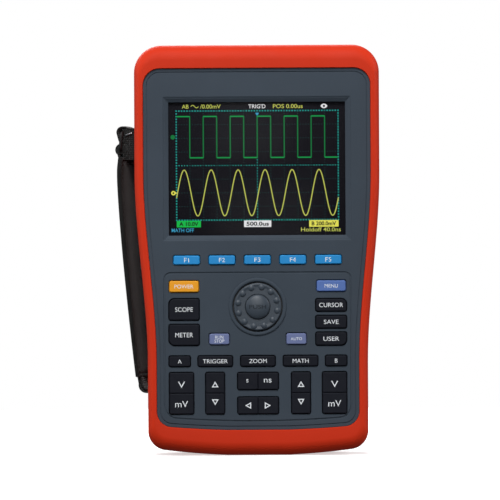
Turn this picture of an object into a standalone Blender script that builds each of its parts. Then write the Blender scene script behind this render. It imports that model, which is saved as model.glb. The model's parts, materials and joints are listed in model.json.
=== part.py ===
"""Handheld two-channel oscilloscope with a rubber holster, a hand strap and a rear stand.

The object stands upright: X is its width, -Y its front and +Z its height. The origin is the
centre of the flat foot that it stands on. Every size below is in millimetres, and a mesh is
scaled to metres when it is made. Each named object is one separate piece of the instrument.
"""

import math

import bmesh
import bpy
from mathutils import Matrix, Vector

MM = 0.001
CLEARANCE = 0.3  # between two pieces that touch
CASE_WALL = 2.5

# ---------------------------------------------------------------- overall size
HEIGHT = 268.0
HEAD_HALF_WIDTH = 80.1
FOOT_HALF_WIDTH = 72.0
WAIST_LOW = 60.0  # the sides widen between these two heights
WAIST_HIGH = 185.0
FOOT_FLAT_HALF = 20.0
FOOT_RADIUS = 480.0
PANEL_FOOT_RADIUS = 700.0
HOLSTER_FRONT = -28.0
HOLSTER_BACK = 28.0

# ------------------------------------------------- depths, from front to back
PANEL_FACE = -26.4
LIP_BACK = -24.7
PANEL_BACK = -22.6
KEYPAD_FRONT = -19.8
PARTING = 0.0
REAR_CAVITY = 20.4
STAND_FLOOR = 23.2
REAR_LIP = 25.3
REAR_FACE = 27.2

# ---------------------------------------------------------------------- keys
KEY_FACE = -27.5
KEY_EDGE = 0.6  # bevel round the face of a key cap
KEY_TRAVEL = 1.0
KEY_GAP = 0.45
KEY_FLANGE = 1.1
KEY_RADIUS = 1.2
BIG_CORNER = 3.6
FUNCTION_PITCH = 23.1
FUNCTION_Z = 127.6

# name, x, z, width, height and the corner that is cut larger
PUSH_KEYS = (
    ("key_power", -48.0, 110.4, 19.1, 7.3, None),
    ("key_menu", 48.0, 110.4, 18.9, 7.1, None),
    ("key_scope", -48.0, 95.4, 19.6, 13.9, "top_left"),
    ("key_meter", -48.0, 78.8, 19.6, 13.6, "bottom_left"),
    ("key_cursor", 47.9, 97.9, 20.0, 8.1, "top_right"),
    ("key_save", 47.9, 86.9, 20.0, 8.1, None),
    ("key_user", 47.9, 75.9, 20.0, 8.4, "bottom_right"),
    ("key_run_stop", -25.1, 76.0, 12.9, 7.1, None),
    ("key_auto", 25.1, 76.0, 12.9, 7.1, None),
    ("key_channel_a", -51.0, 61.6, 13.8, 6.8, None),
    ("key_trigger", -27.8, 61.6, 22.4, 6.8, None),
    ("key_zoom", 0.0, 61.6, 22.4, 6.8, None),
    ("key_math", 27.8, 61.6, 22.4, 6.8, None),
    ("key_channel_b", 51.0, 61.6, 13.8, 6.8, None),
)
# name, x, z, width and height of the two-way keys, which tip about their middle
ROCKER_KEYS = (
    ("rocker_volts_a", -49.9, 40.7, 15.7, 27.0),
    ("rocker_position_a", -28.0, 40.7, 12.2, 27.0),
    ("rocker_time", 0.0, 48.5, 26.5, 11.0),
    ("rocker_shift", 0.0, 32.6, 26.5, 10.9),
    ("rocker_position_b", 28.0, 40.7, 12.2, 27.0),
    ("rocker_volts_b", 49.9, 40.7, 15.7, 27.0),
)

# -------------------------------------------------------------------- display
SCREEN_Z = 187.1
SCREEN_WIDTH = 115.4
SCREEN_HEIGHT = 87.0
BEZEL_MARGIN = 3.5
BEZEL_DEPTH = 2.0

# ----------------------------------------------------------------------- dial
DIAL_Z = 97.0
DIAL_RADIUS = 15.5
DIAL_WELL_RADIUS = 16.4
DIAL_FACE = -28.4
DIAL_BACK = -24.3
BUMP_COUNT = 12
BUMP_CIRCLE = 13.2
BUMP_RADIUS = 1.9
BUMP_START_DEG = 18.5
CAP_RADIUS = 8.0
CAP_APEX = -31.0
STEM_RADIUS = 2.8  # of the push cap, through the ring to the encoder
STEM_LENGTH = 2.3

# ---------------------------------------------------------------- connections
BAY_HALF_WIDTH = 56.2
BAY_FRONT = 4.0
BAY_BACK = 20.4
BAY_FLOOR = 251.2
BLOCK_WALL = 1.8
BLOCK_TOP = 262.4
TERMINAL_Y = (BAY_FRONT + BAY_BACK) / 2
COAX_X = 44.0
JACK_PITCH = 19.0
PORT_Y = (4.0, 20.0)
PORT_Z = (204.0, 238.0)
SOCKET_FACE = 72.0
SOCKET_HALF = 6.8

# ------------------------------------------------------------ stand and strap
STAND_HALF_WIDTH = 49.6
STAND_LOW = 28.8
STAND_HINGE_Z = 146.0
STAND_HINGE_Y = 25.3
STAND_BARREL = 1.8
STAND_PIN_RADIUS = 1.0
DOOR_WIDTH = 88.0
DOOR_Z = (57.0, 121.0)
DOOR_STEP = 21.7
BATTERY_WAY_Z = (59.5, 108.5)
BATTERY_WAY_WIDTH = 83.0
DOOR_SCREW_Z = 115.0
CASE_SCREWS = ((-62.0, 246.0), (62.0, 246.0), (-56.0, 16.5), (56.0, 16.5))
STRAP_Y = 12.6
STRAP_TOP = 195.6
STRAP_FOOT = 50.3
STRAP_SHOULDER = 9.0
STRAP_EDGE = -91.3
STRAP_BOW = 9.8
STRAP_BOW_TOP = 182.0
STRAP_LEAN = math.radians(13)
WEBBING_WIDTH = 18.0
RING_X = -86.4
RING_LOW_Z = 200.6
RING_HIGH_Z = 211.8
RING_TIP = 1.1
FOOT_ANCHOR_X = -78.0

COLOURS = {
    "rubber_red": (0.58, 0.03, 0.012, 0.6, 0.0),
    "case_grey": (0.050, 0.062, 0.078, 0.55, 0.0),
    "key_black": (0.016, 0.017, 0.022, 0.5, 0.0),
    "key_blue": (0.02, 0.23, 0.55, 0.45, 0.0),
    "key_orange": (0.72, 0.34, 0.03, 0.45, 0.0),
    "key_violet": (0.14, 0.18, 0.40, 0.45, 0.0),
    "screen_black": (0.01, 0.01, 0.012, 0.3, 0.0),
    "clear": (0.8, 0.8, 0.8, 0.05, 0.0),
    "board_green": (0.02, 0.12, 0.05, 0.5, 0.0),
    "steel": (0.6, 0.6, 0.62, 0.3, 1.0),
    "black_plastic": (0.02, 0.02, 0.022, 0.5, 0.0),
    "jack_red": (0.55, 0.02, 0.02, 0.4, 0.0),
    "fabric_black": (0.018, 0.018, 0.018, 0.9, 0.0),
}


# ------------------------------------------------------------------- helpers
def clear_scene():
    for obj in list(bpy.data.objects):
        bpy.data.objects.remove(obj)


def collection(name, shown=True):
    made = bpy.data.collections.new(name)
    bpy.context.scene.collection.children.link(made)
    made.hide_render = not shown
    return made


def material(name):
    if name in bpy.data.materials:
        return bpy.data.materials[name]
    red, green, blue, roughness, metallic = COLOURS[name]
    made = bpy.data.materials.new(name)
    made.use_nodes = True
    shader = made.node_tree.nodes["Principled BSDF"]
    shader.inputs["Base Color"].default_value = (red, green, blue, 1.0)
    shader.inputs["Roughness"].default_value = roughness
    shader.inputs["Metallic"].default_value = metallic
    return made


def finish(name, mesh, look, group):
    """Wraps a mesh in a named object of its collection. A look of None makes a cutter."""
    obj = bpy.data.objects.new(name, mesh)
    group.objects.link(obj)
    if look:
        mesh.materials.append(material(look))
        mesh.shade_smooth()
        mesh.set_sharp_from_angle(angle=math.radians(35))
    else:
        obj.hide_render = True
        obj.display_type = "WIRE"
    return obj


def from_bmesh(name, shape, look, group):
    bmesh.ops.recalc_face_normals(shape, faces=shape.faces)
    mesh = bpy.data.meshes.new(name)
    shape.to_mesh(mesh)
    shape.free()
    return finish(name, mesh, look, group)


def box(name, x, y, z, look, group):
    """A block between two values along each axis."""
    shape = bmesh.new()
    size = [(span[1] - span[0]) * MM for span in (x, y, z)]
    middle = [(span[1] + span[0]) / 2 * MM for span in (x, y, z)]
    place = Matrix.Translation(middle) @ Matrix.Diagonal((*size, 1.0))
    bmesh.ops.create_cube(shape, size=1.0, matrix=place)
    return from_bmesh(name, shape, look, group)


def cylinder(name, start, end, radius, look, group, segments=24):
    """A round bar between two points."""
    shape = bmesh.new()
    start, end = Vector(start) * MM, Vector(end) * MM
    along = end - start
    turn = along.to_track_quat("Z", "Y").to_matrix().to_4x4()
    bmesh.ops.create_cone(
        shape,
        cap_ends=True,
        segments=segments,
        radius1=radius * MM,
        radius2=radius * MM,
        depth=along.length,
        matrix=Matrix.Translation((start + end) / 2) @ turn,
    )
    return from_bmesh(name, shape, look, group)


def turned(name, profile, place, look, group, steps=32, axis="Z"):
    """Turns a profile of (radius, height) points about an axis through place.

    The profile runs down the outer side first. Axis "Z" points up and "-Y" to the front.
    """
    mesh = bpy.data.meshes.new(name)
    points = [(radius * MM, 0.0, height * MM) for radius, height in profile]
    on_axis = profile[0][0] == 0 and profile[-1][0] == 0
    edges = [(i, i + 1) for i in range(len(points) - 1)]
    if not on_axis:
        edges.append((len(points) - 1, 0))
    mesh.from_pydata(points, edges, [])
    obj = finish(name, mesh, look, group)
    screw = obj.modifiers.new("turn", "SCREW")
    screw.steps = steps
    screw.render_steps = steps
    screw.use_merge_vertices = True
    screw.merge_threshold = 1e-6
    screw.use_smooth_shade = False
    obj.location = Vector(place) * MM
    if axis == "-Y":
        obj.rotation_euler = (math.radians(90), 0, 0)
    return obj


def loft(name, rings, look, group):
    """Joins rings of (x, y, z) points, all of one length, and closes both ends."""
    shape = bmesh.new()
    rows = [[shape.verts.new(Vector(p) * MM) for p in ring] for ring in rings]
    for low, high in zip(rows, rows[1:]):
        for i in range(len(low)):
            j = (i + 1) % len(low)
            shape.faces.new((low[i], low[j], high[j], high[i]))
    shape.faces.new(rows[0])
    shape.faces.new(rows[-1])
    return from_bmesh(name, shape, look, group)


def plate(name, outlines, y, look, group):
    """Extrudes flat outlines in X and Z, the second one a hole, between two depths."""
    curve = bpy.data.curves.new(name, "CURVE")
    curve.dimensions = "2D"
    curve.fill_mode = "BOTH"
    curve.extrude = (y[1] - y[0]) / 2 * MM
    for outline in outlines:
        spline = curve.splines.new("POLY")
        spline.points.add(len(outline) - 1)
        for point, (x, z) in zip(spline.points, outline):
            point.co = (x * MM, z * MM, 0, 1)
        spline.use_cyclic_u = True
    helper = bpy.data.objects.new(name, curve)
    bpy.context.scene.collection.objects.link(helper)
    helper.rotation_euler = (math.radians(90), 0, 0)
    helper.location = (0, (y[0] + y[1]) / 2 * MM, 0)
    bpy.context.view_layer.update()
    graph = bpy.context.evaluated_depsgraph_get()
    mesh = bpy.data.meshes.new_from_object(helper.evaluated_get(graph))
    mesh.transform(helper.matrix_world)
    bpy.data.objects.remove(helper)
    shape = bmesh.new()
    shape.from_mesh(mesh)
    bpy.data.meshes.remove(mesh)
    bmesh.ops.remove_doubles(shape, verts=shape.verts, dist=1e-6)
    return from_bmesh(name, shape, look, group)


def wire(name, points, radius, look, group, closed=False):
    """A round wire that follows the points."""
    curve = bpy.data.curves.new(name, "CURVE")
    curve.dimensions = "3D"
    curve.bevel_depth = radius * MM
    curve.bevel_resolution = 2
    curve.use_fill_caps = True
    spline = curve.splines.new("POLY")
    spline.points.add(len(points) - 1)
    for point, place in zip(spline.points, points):
        point.co = (*(Vector(place) * MM), 1)
    spline.use_cyclic_u = closed
    curve.materials.append(material(look))
    obj = bpy.data.objects.new(name, curve)
    group.objects.link(obj)
    return obj


def boolean(obj, operation, others):
    """Cuts obj with a collection of shapes, or joins them to it."""
    modifier = obj.modifiers.new(operation.lower(), "BOOLEAN")
    modifier.operation = operation
    modifier.operand_type = "COLLECTION"
    modifier.collection = others
    modifier.solver = "EXACT"
    return obj


def arc(centre, radius, start_deg, end_deg, steps):
    """Points along a circle, both ends included."""
    angles = [start_deg + (end_deg - start_deg) * i / steps for i in range(steps + 1)]
    return [
        (
            centre[0] + radius * math.cos(math.radians(a)),
            centre[1] + radius * math.sin(math.radians(a)),
        )
        for a in angles
    ]


def rounded_rectangle(x, z, width, height, radius, steps=2, big=None, big_radius=BIG_CORNER):
    """An outline anticlockwise from its right-hand top corner."""
    corners = (
        ("top_right", 1, 1),
        ("top_left", -1, 1),
        ("bottom_left", -1, -1),
        ("bottom_right", 1, -1),
    )
    points = []
    for i, (name, side, up) in enumerate(corners):
        r = big_radius if name == big else radius
        centre = (x + side * (width / 2 - r), z + up * (height / 2 - r))
        points += arc(centre, r, 90 * i, 90 * (i + 1), steps)
    return points


def smooth(t):
    t = min(1.0, max(0.0, t))
    return t * t * (3 - 2 * t)


def half_width(z):
    share = smooth((z - WAIST_LOW) / (WAIST_HIGH - WAIST_LOW))
    return FOOT_HALF_WIDTH + (HEAD_HALF_WIDTH - FOOT_HALF_WIDTH) * share


def body_outline(side, top, foot, top_radius, foot_corner, foot_radius=FOOT_RADIUS):
    """The instrument's outline, moved in by side, top and foot.

    The foot is flat in its middle and curves up to each corner, and the sides follow the waist.
    """
    flat_angle = math.asin(FOOT_FLAT_HALF / foot_radius)
    lowest = foot - foot_radius * (1 - math.cos(flat_angle))
    corner_x = FOOT_HALF_WIDTH - side - foot_corner
    reach = foot_radius - foot_corner
    corner_z = lowest + foot_radius - math.sqrt(reach**2 - corner_x**2)
    tangent = math.degrees(math.asin(corner_x / reach))
    start = math.degrees(flat_angle)
    right = arc((0, lowest + foot_radius), foot_radius, start - 90, tangent - 90, 3)
    right += arc((corner_x, corner_z), foot_corner, tangent - 90, 0, 5)[1:]
    low, high = WAIST_LOW - 5, WAIST_HIGH + 5
    for i in range(9):
        z = low + (high - low) * i / 8
        right.append((half_width(z) - side, z))
    top_z = HEIGHT - top
    corner = (HEAD_HALF_WIDTH - side - top_radius, top_z - top_radius)
    right += arc(corner, top_radius, 0, 90, 6)
    return right + [(-x, z) for x, z in reversed(right)]


def at_depth(outline, y):
    return [(x, y, z) for x, z in outline]


def case_outline(extra=0.0):
    """The case inside the holster, moved in further by extra."""
    return body_outline(3.3 + extra, 5.3 + extra, 5.3 + extra, 14.5 - extra, 9.0 - extra)


def panel_outline(extra=0.0):
    """The grey panel that fills the holster's front opening."""
    return body_outline(
        6.0 + extra, 15.5 + extra, 16.7 + extra, 11.0 - extra, 10.0 - extra, PANEL_FOOT_RADIUS
    )


def rear_outline(extra=0.0):
    """The rear case's back, which fills the holster's rear opening."""
    return body_outline(10.0 + extra, 10.0 + extra, 10.0 + extra, 10.0 - extra, 8.0 - extra)


def door_outline(width, span, radius, inset=0.0):
    """A rounded outline about the middle plane, between two heights and moved in by inset."""
    tall = span[1] - span[0] - 2 * inset
    middle = (span[0] + span[1]) / 2
    return rounded_rectangle(0, middle, width - 2 * inset, tall, radius - inset)


def push_keys():
    """Every push key's name, place, size and larger corner, the function keys first."""
    functions = [
        (f"key_f{i + 1}", (i - 2) * FUNCTION_PITCH, FUNCTION_Z, 17.1, 5.9, None)
        for i in range(5)
    ]
    return functions + list(PUSH_KEYS)


def lean_strap_piece(obj, x):
    """Turns a piece made along the Y axis to the strap's lean, about a vertical line."""
    obj.location = (x * MM, STRAP_Y * MM, 0)
    obj.rotation_euler = (0, 0, -STRAP_LEAN)
    return obj


def make_strap_slots(name, group):
    """The cutters for the two slots in the left-hand wall that the webbing passes through."""
    half = WEBBING_WIDTH / 2 + 0.4
    top = RING_HIGH_Z + 3.2
    upper = box(f"{name}_top_slot", (3.0, 17.0), (-half, half), (top - 3.8, top + 0.4), None, group)
    lean_strap_piece(upper, RING_X)
    lower = box(f"{name}_foot_slot", (3.0, 16.5), (-half, half), (39.3, 43.4), None, group)
    lean_strap_piece(lower, FOOT_ANCHOR_X)


# -------------------------------------------------------------------- shells
def make_holster(parts):
    """The red rubber boot round the case, rounded over at front and back."""
    cuts = collection("holster_cutters", shown=False)
    front_round, back_round, depth = (5.0, 10.0, 9.0), (8.0, 8.0, 7.0), 9.0
    rings = []
    for i in range(4):
        angle = math.radians(90 * i / 3)
        share = 1 - math.sin(angle)
        side, top, foot = (r * share for r in front_round)
        y = HOLSTER_FRONT + depth * (1 - math.cos(angle))
        outline = body_outline(side, top, foot, 18.0 - 7 * share, 12.5 - 2.5 * share)
        rings.append(at_depth(outline, y))
    for i in range(4):
        angle = math.radians(90 - 90 * i / 3)
        share = 1 - math.sin(angle)
        side, top, foot = (r * share for r in back_round)
        y = HOLSTER_BACK - depth * (1 - math.cos(angle))
        outline = body_outline(side, top, foot, 18.0 - 7 * share, 12.5 - 2.5 * share)
        rings.append(at_depth(outline, y))
    holster = loft("holster", rings, "rubber_red", parts)
    cavity = body_outline(3.0, 5.0, 5.0, 14.8, 9.3)
    loft("holster_cavity", [at_depth(cavity, LIP_BACK), at_depth(cavity, REAR_LIP)], None, cuts)
    boolean(holster, "DIFFERENCE", cuts)
    mouths = collection("holster_mouths", shown=False)
    front = panel_outline()
    loft("front_mouth", [at_depth(front, -30), at_depth(front, -20)], None, mouths)
    rear = rear_outline()
    loft("rear_mouth", [at_depth(rear, 20), at_depth(rear, 30)], None, mouths)
    boolean(holster, "DIFFERENCE", mouths)
    ways = collection("holster_ways", shown=False)
    box("bay_mouth", (-56.2, 56.2), (BAY_FRONT, BAY_BACK), (258, 272), None, ways)
    box("port_mouth", (74, 84), PORT_Y, PORT_Z, None, ways)
    make_strap_slots("holster", ways)
    boolean(holster, "DIFFERENCE", ways)


def make_front_case(parts):
    """The front shell: a plateau that shows as the panel, a flange, walls and screw posts."""
    rings = [
        at_depth(panel_outline(CLEARANCE + 0.6), PANEL_FACE),
        at_depth(panel_outline(CLEARANCE), PANEL_FACE + 0.6),
        at_depth(panel_outline(CLEARANCE), LIP_BACK + CLEARANCE),
        at_depth(case_outline(), LIP_BACK + CLEARANCE),
        at_depth(case_outline(), PARTING - CLEARANCE / 2),
    ]
    case = loft("front_case", rings, "case_grey", parts)
    hollow = collection("front_case_hollow", shown=False)
    inner = case_outline(CASE_WALL)
    loft("front_cavity", [at_depth(inner, PANEL_BACK), at_depth(inner, 5)], None, hollow)
    boolean(case, "DIFFERENCE", hollow)
    posts = collection("front_case_posts", shown=False)
    for i, (x, z) in enumerate(CASE_SCREWS):
        cylinder(f"post_{i}", (x, PANEL_BACK - 0.8, z), (x, -0.6, z), 4.0, None, posts, 16)
    boolean(case, "UNION", posts)
    cuts = collection("front_case_cutters", shown=False)
    for i, (x, z) in enumerate(CASE_SCREWS):
        cylinder(f"post_bore_{i}", (x, -16, z), (x, 2, z), 1.8, None, cuts, 12)
    for name, x, z, width, height, big in push_keys():
        gap = 2 * KEY_GAP
        outline = rounded_rectangle(x, z, width + gap, height + gap, KEY_RADIUS, 2, big, BIG_CORNER)
        plate(f"{name}_hole", [outline], (-30, -20), None, cuts)
    for name, x, z, width, height in ROCKER_KEYS:
        gap = 2 * KEY_GAP
        outline = rounded_rectangle(x, z, width + gap, height + gap, KEY_RADIUS)
        plate(f"{name}_hole", [outline], (-30, -20), None, cuts)
    well = [(0, 4), (DIAL_WELL_RADIUS, 4), (DIAL_WELL_RADIUS, 0), (5, 0), (5, -3), (0, -3)]
    turned("dial_well", well, (0, PANEL_FACE + 2.5, DIAL_Z), None, cuts, axis="-Y")
    wide, tall = SCREEN_WIDTH, SCREEN_HEIGHT
    reveal = []
    for y, grow in ((-28.4, 4), (PANEL_FACE + BEZEL_DEPTH, 0), (-21, 0)):
        extra = grow * BEZEL_MARGIN / BEZEL_DEPTH
        outline = rounded_rectangle(0, SCREEN_Z, wide + extra * 2, tall + extra * 2, 0.8, 1)
        reveal.append(at_depth(outline, y))
    loft("screen_reveal", reveal, None, cuts)
    boolean(case, "DIFFERENCE", cuts)


def make_rear_case(parts):
    """The rear shell, with the recess of the stand, the battery opening and two side openings."""
    rings = [
        at_depth(case_outline(), PARTING + CLEARANCE / 2),
        at_depth(case_outline(), REAR_LIP - CLEARANCE),
        at_depth(rear_outline(CLEARANCE), REAR_LIP - CLEARANCE),
        at_depth(rear_outline(CLEARANCE), REAR_FACE - 0.8),
        at_depth(rear_outline(CLEARANCE + 0.8), REAR_FACE),
    ]
    case = loft("rear_case", rings, "case_grey", parts)
    cuts = collection("rear_case_hollow", shown=False)
    inner = case_outline(CASE_WALL)
    loft("rear_cavity", [at_depth(inner, -5), at_depth(inner, REAR_CAVITY)], None, cuts)
    boolean(case, "DIFFERENCE", cuts)
    bosses = collection("rear_case_bosses", shown=False)
    boss = (REAR_CAVITY - 5, REAR_CAVITY + 0.5)
    cylinder("door_boss", (0, boss[0], DOOR_SCREW_Z), (0, boss[1], DOOR_SCREW_Z), 3.6, None, bosses, 16)
    boolean(case, "UNION", bosses)
    ways = collection("rear_case_cutters", shown=False)
    wide = STAND_HALF_WIDTH + 0.4
    high = STAND_HINGE_Z + STAND_BARREL + 0.5
    box("stand_recess", (-wide, wide), (STAND_FLOOR, 30), (STAND_LOW - 0.4, high), None, ways)
    pin = STAND_HALF_WIDTH + 4.4
    hinge = (STAND_HINGE_Y, STAND_HINGE_Z)
    cylinder("stand_pin_bore", (-pin, *hinge), (pin, *hinge), 1.3, None, ways, 12)
    box("finger_notch", (-11, 11), (STAND_FLOOR + 1.2, 30), (STAND_LOW - 7, STAND_LOW + 2), None, ways)
    step = door_outline(DOOR_WIDTH, DOOR_Z, 3)
    plate("battery_step", [step], (DOOR_STEP, STAND_FLOOR + 1), None, ways)
    way = door_outline(BATTERY_WAY_WIDTH, BATTERY_WAY_Z, 2)
    plate("battery_way", [way], (18, 24), None, ways)
    wall = BAY_HALF_WIDTH + BLOCK_WALL + CLEARANCE
    front, back = BAY_FRONT - BLOCK_WALL - CLEARANCE, BAY_BACK + BLOCK_WALL + CLEARANCE
    box("bay_way", (-wall, wall), (front, back), (245, 270), None, ways)
    box("port_way", (71, 80), PORT_Y, PORT_Z, None, ways)
    make_strap_slots("rear_case", ways)
    for i, (x, z) in enumerate(CASE_SCREWS):
        cylinder(f"screw_way_{i}", (x, 15, z), (x, 30, z), 1.8, None, ways, 12)
        cylinder(f"screw_head_way_{i}", (x, 24, z), (x, 31, z), 3.3, None, ways, 16)
    cylinder("door_screw_way", (0, 10, DOOR_SCREW_Z), (0, 24, DOOR_SCREW_Z), 1.8, None, ways, 12)
    boolean(case, "DIFFERENCE", ways)


# ------------------------------------------------------------ display, boards
def make_display(parts):
    lens = rounded_rectangle(0, SCREEN_Z, SCREEN_WIDTH - 0.6, SCREEN_HEIGHT - 0.6, 0.5, 1)
    plate("display_lens", [lens], (-24.3, -22.9), "clear", parts)
    half = 63.0
    low, high = SCREEN_Z - 48.5, SCREEN_Z + 48.5
    box("display_module", (-half, half), (-22.3, -14.0), (low, high), "screen_black", parts)


def make_boards(parts):
    keypad = rounded_rectangle(0, 78.5, 124, 111, 3)
    plate("keypad_board", [keypad], (KEYPAD_FRONT, KEYPAD_FRONT + 1.6), "board_green", parts)
    main = rounded_rectangle(0, 132, 108, 206, 3)
    plate("main_board", [main], (-8.0, -6.4), "board_green", parts)
    box("shield_can", (-46, 46), (-6.1, 0.5), (178, 232), "steel", parts)
    body = [(0, 3), (7, 3), (7, -3), (0, -3)]
    turned("beeper", body, (36, -3.0, 60), "black_plastic", parts, 20, axis="-Y")
    encoder = [(0, 3.3), (3, 3.3), (3, 2.2), (6.5, 2.2), (6.5, 0), (0, 0)]
    turned("rotary_encoder", encoder, (0, KEYPAD_FRONT - 0.3, DIAL_Z), "steel", parts, 20, axis="-Y")


def make_battery(parts):
    battery_z = (BATTERY_WAY_Z[0] + 0.8, BATTERY_WAY_Z[1] - 0.8)
    half = BATTERY_WAY_WIDTH / 2 - 0.8
    box("battery_pack", (-half, half), (4.6, DOOR_STEP - 1.3), battery_z, "black_plastic", parts)
    flange = door_outline(DOOR_WIDTH, DOOR_Z, 3, 0.4)
    plug = door_outline(BATTERY_WAY_WIDTH, BATTERY_WAY_Z, 2, 0.4)
    back = DOOR_STEP + CLEARANCE
    rings = [at_depth(plug, back - 1.2), at_depth(plug, back)]
    rings += [at_depth(flange, back), at_depth(flange, back + 1.0)]
    door = loft("battery_door", rings, "case_grey", parts)
    bores = collection("battery_door_bore", shown=False)
    sink = [(0, 2), (1.8, 2), (1.8, 0), (3.0, -1.0), (3.0, -1.2), (0, -1.2)]
    turned("door_bore", sink, (0, back, DOOR_SCREW_Z), None, bores, 16, axis="-Y")
    boolean(door, "DIFFERENCE", bores)


# ---------------------------------------------------------------------- keys
def make_push_keys(parts):
    """Caps with a flange that holds each one behind the panel."""
    for name, x, z, width, height, big in push_keys():
        look = "key_black"
        if name.startswith("key_f"):
            look = "key_blue"
        if name == "key_power":
            look = "key_orange"
        if name in ("key_menu", "key_run_stop", "key_auto"):
            look = "key_violet"
        rings = []
        for y, grow in (
            (KEY_FACE, -KEY_EDGE),
            (KEY_FACE + KEY_EDGE, 0),
            (PANEL_BACK + CLEARANCE, 0),
            (PANEL_BACK + CLEARANCE, KEY_FLANGE),
            (PANEL_BACK + CLEARANCE + 1.0, KEY_FLANGE),
        ):
            radius = max(0.5, KEY_RADIUS + min(0, grow))
            outline = rounded_rectangle(
                x, z, width + 2 * grow, height + 2 * grow, radius, 2, big, BIG_CORNER + min(0, grow)
            )
            rings.append(at_depth(outline, y))
        loft(name, rings, look, parts)


def make_rocker_keys(parts):
    """Two-way caps. Their flange sits lower, so that it can tip behind the panel."""
    for name, x, z, width, height in ROCKER_KEYS:
        rings = []
        for y, grow in (
            (KEY_FACE, -KEY_EDGE),
            (KEY_FACE + KEY_EDGE, 0),
            (PANEL_BACK + 0.9, 0),
            (PANEL_BACK + 0.9, KEY_FLANGE),
            (PANEL_BACK + 1.7, KEY_FLANGE),
        ):
            radius = max(0.5, KEY_RADIUS + min(0, grow))
            outline = rounded_rectangle(x, z, width + 2 * grow, height + 2 * grow, radius)
            rings.append(at_depth(outline, y))
        loft(name, rings, "key_black", parts)


def make_dial(parts):
    """The ring that turns, with its finger bumps, and the cap that is pushed inside it."""
    front, back = -DIAL_FACE, -DIAL_BACK
    profile = [
        (8.4, front),
        (DIAL_RADIUS - 0.8, front),
        (DIAL_RADIUS, front - 0.8),
        (DIAL_RADIUS, back),
        (3.4, back),
        (3.4, back + 1.2),
        (8.4, back + 1.2),
    ]
    dial = turned("jog_dial", profile, (0, 0, DIAL_Z), "case_grey", parts, 40, axis="-Y")
    bumps = collection("jog_dial_bumps", shown=False)
    for i in range(BUMP_COUNT):
        angle = math.radians(BUMP_START_DEG + 360 * i / BUMP_COUNT)
        shape = bmesh.new()
        x, z = BUMP_CIRCLE * math.cos(angle), DIAL_Z + BUMP_CIRCLE * math.sin(angle)
        place = Matrix.Translation(Vector((x, DIAL_FACE + 0.9, z)) * MM)
        bmesh.ops.create_icosphere(shape, subdivisions=1, radius=BUMP_RADIUS * MM, matrix=place)
        from_bmesh(f"bump_{i}", shape, None, bumps)
    boolean(dial, "UNION", bumps)
    cap_back = -CAP_APEX - 4.1
    dome = [(0, -CAP_APEX)]
    for degrees in (30, 60):
        angle = math.radians(degrees)
        dome.append((CAP_RADIUS * math.sin(angle), cap_back + 2 + 2.1 * math.cos(angle)))
    skirt = [(CAP_RADIUS, cap_back + 2), (CAP_RADIUS, cap_back)]
    stem = [(STEM_RADIUS, cap_back), (STEM_RADIUS, cap_back - STEM_LENGTH), (0, cap_back - STEM_LENGTH)]
    profile = dome + skirt + stem
    turned("jog_push_cap", profile, (0, 0, DIAL_Z), "case_grey", parts, 32, axis="-Y")


# --------------------------------------------------------------- connections
def make_terminals(parts):
    """The sunken terminal bay in the head, with two coaxial inputs and three test jacks."""
    wall = BLOCK_WALL
    x = (-BAY_HALF_WIDTH - wall, BAY_HALF_WIDTH + wall)
    y = (BAY_FRONT - wall, BAY_BACK + wall)
    block = box("terminal_block", x, y, (BAY_FLOOR - 2.2, BLOCK_TOP), "black_plastic", parts)
    cuts = collection("terminal_block_cutters", shown=False)
    inner = (-BAY_HALF_WIDTH, BAY_HALF_WIDTH)
    box("bay_hollow", inner, (BAY_FRONT, BAY_BACK), (BAY_FLOOR, 270), None, cuts)
    jacks = (("jack_current", -JACK_PITCH), ("jack_common", 0.0), ("jack_volts", JACK_PITCH))
    coaxes = (("coax_input_a", -COAX_X), ("coax_input_b", COAX_X))
    for name, place_x in jacks + coaxes:
        foot, head = (place_x, TERMINAL_Y, 240), (place_x, TERMINAL_Y, 256)
        cylinder(f"{name}_hole", foot, head, 4.4, None, cuts, 20)
    boolean(block, "DIFFERENCE", cuts)
    base = BAY_FLOOR + CLEARANCE
    pin = [(0, 6.0), (0.7, 6.0), (0.7, 12.0), (2.3, 12.0), (2.3, 5.5)]
    shell = [(4.1, 5.5), (4.1, 14.0), (4.8, 14.0), (4.8, 2.5), (7.2, 2.5), (7.0, 0)]
    tail = [(4.0, 0), (4.0, -8), (0, -8)]
    coax = pin + shell + tail
    for name, place_x in coaxes:
        turned(name, coax, (place_x, TERMINAL_Y, base), "steel", parts, 20)
    contact = [(0, 4.0), (2.05, 4.0), (2.05, 9.5), (3.2, 9.5), (3.2, 1.6)]
    shroud = [(5.4, 1.6), (5.4, 11.0), (6.8, 11.0), (6.8, 0)]
    jack = contact + shroud + [(3.6, 0), (3.6, -8), (0, -8)]
    for name, place_x in jacks:
        look = "jack_red" if name == "jack_volts" else "black_plastic"
        turned(name, jack, (place_x, TERMINAL_Y, base), look, parts, 20)


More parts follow.
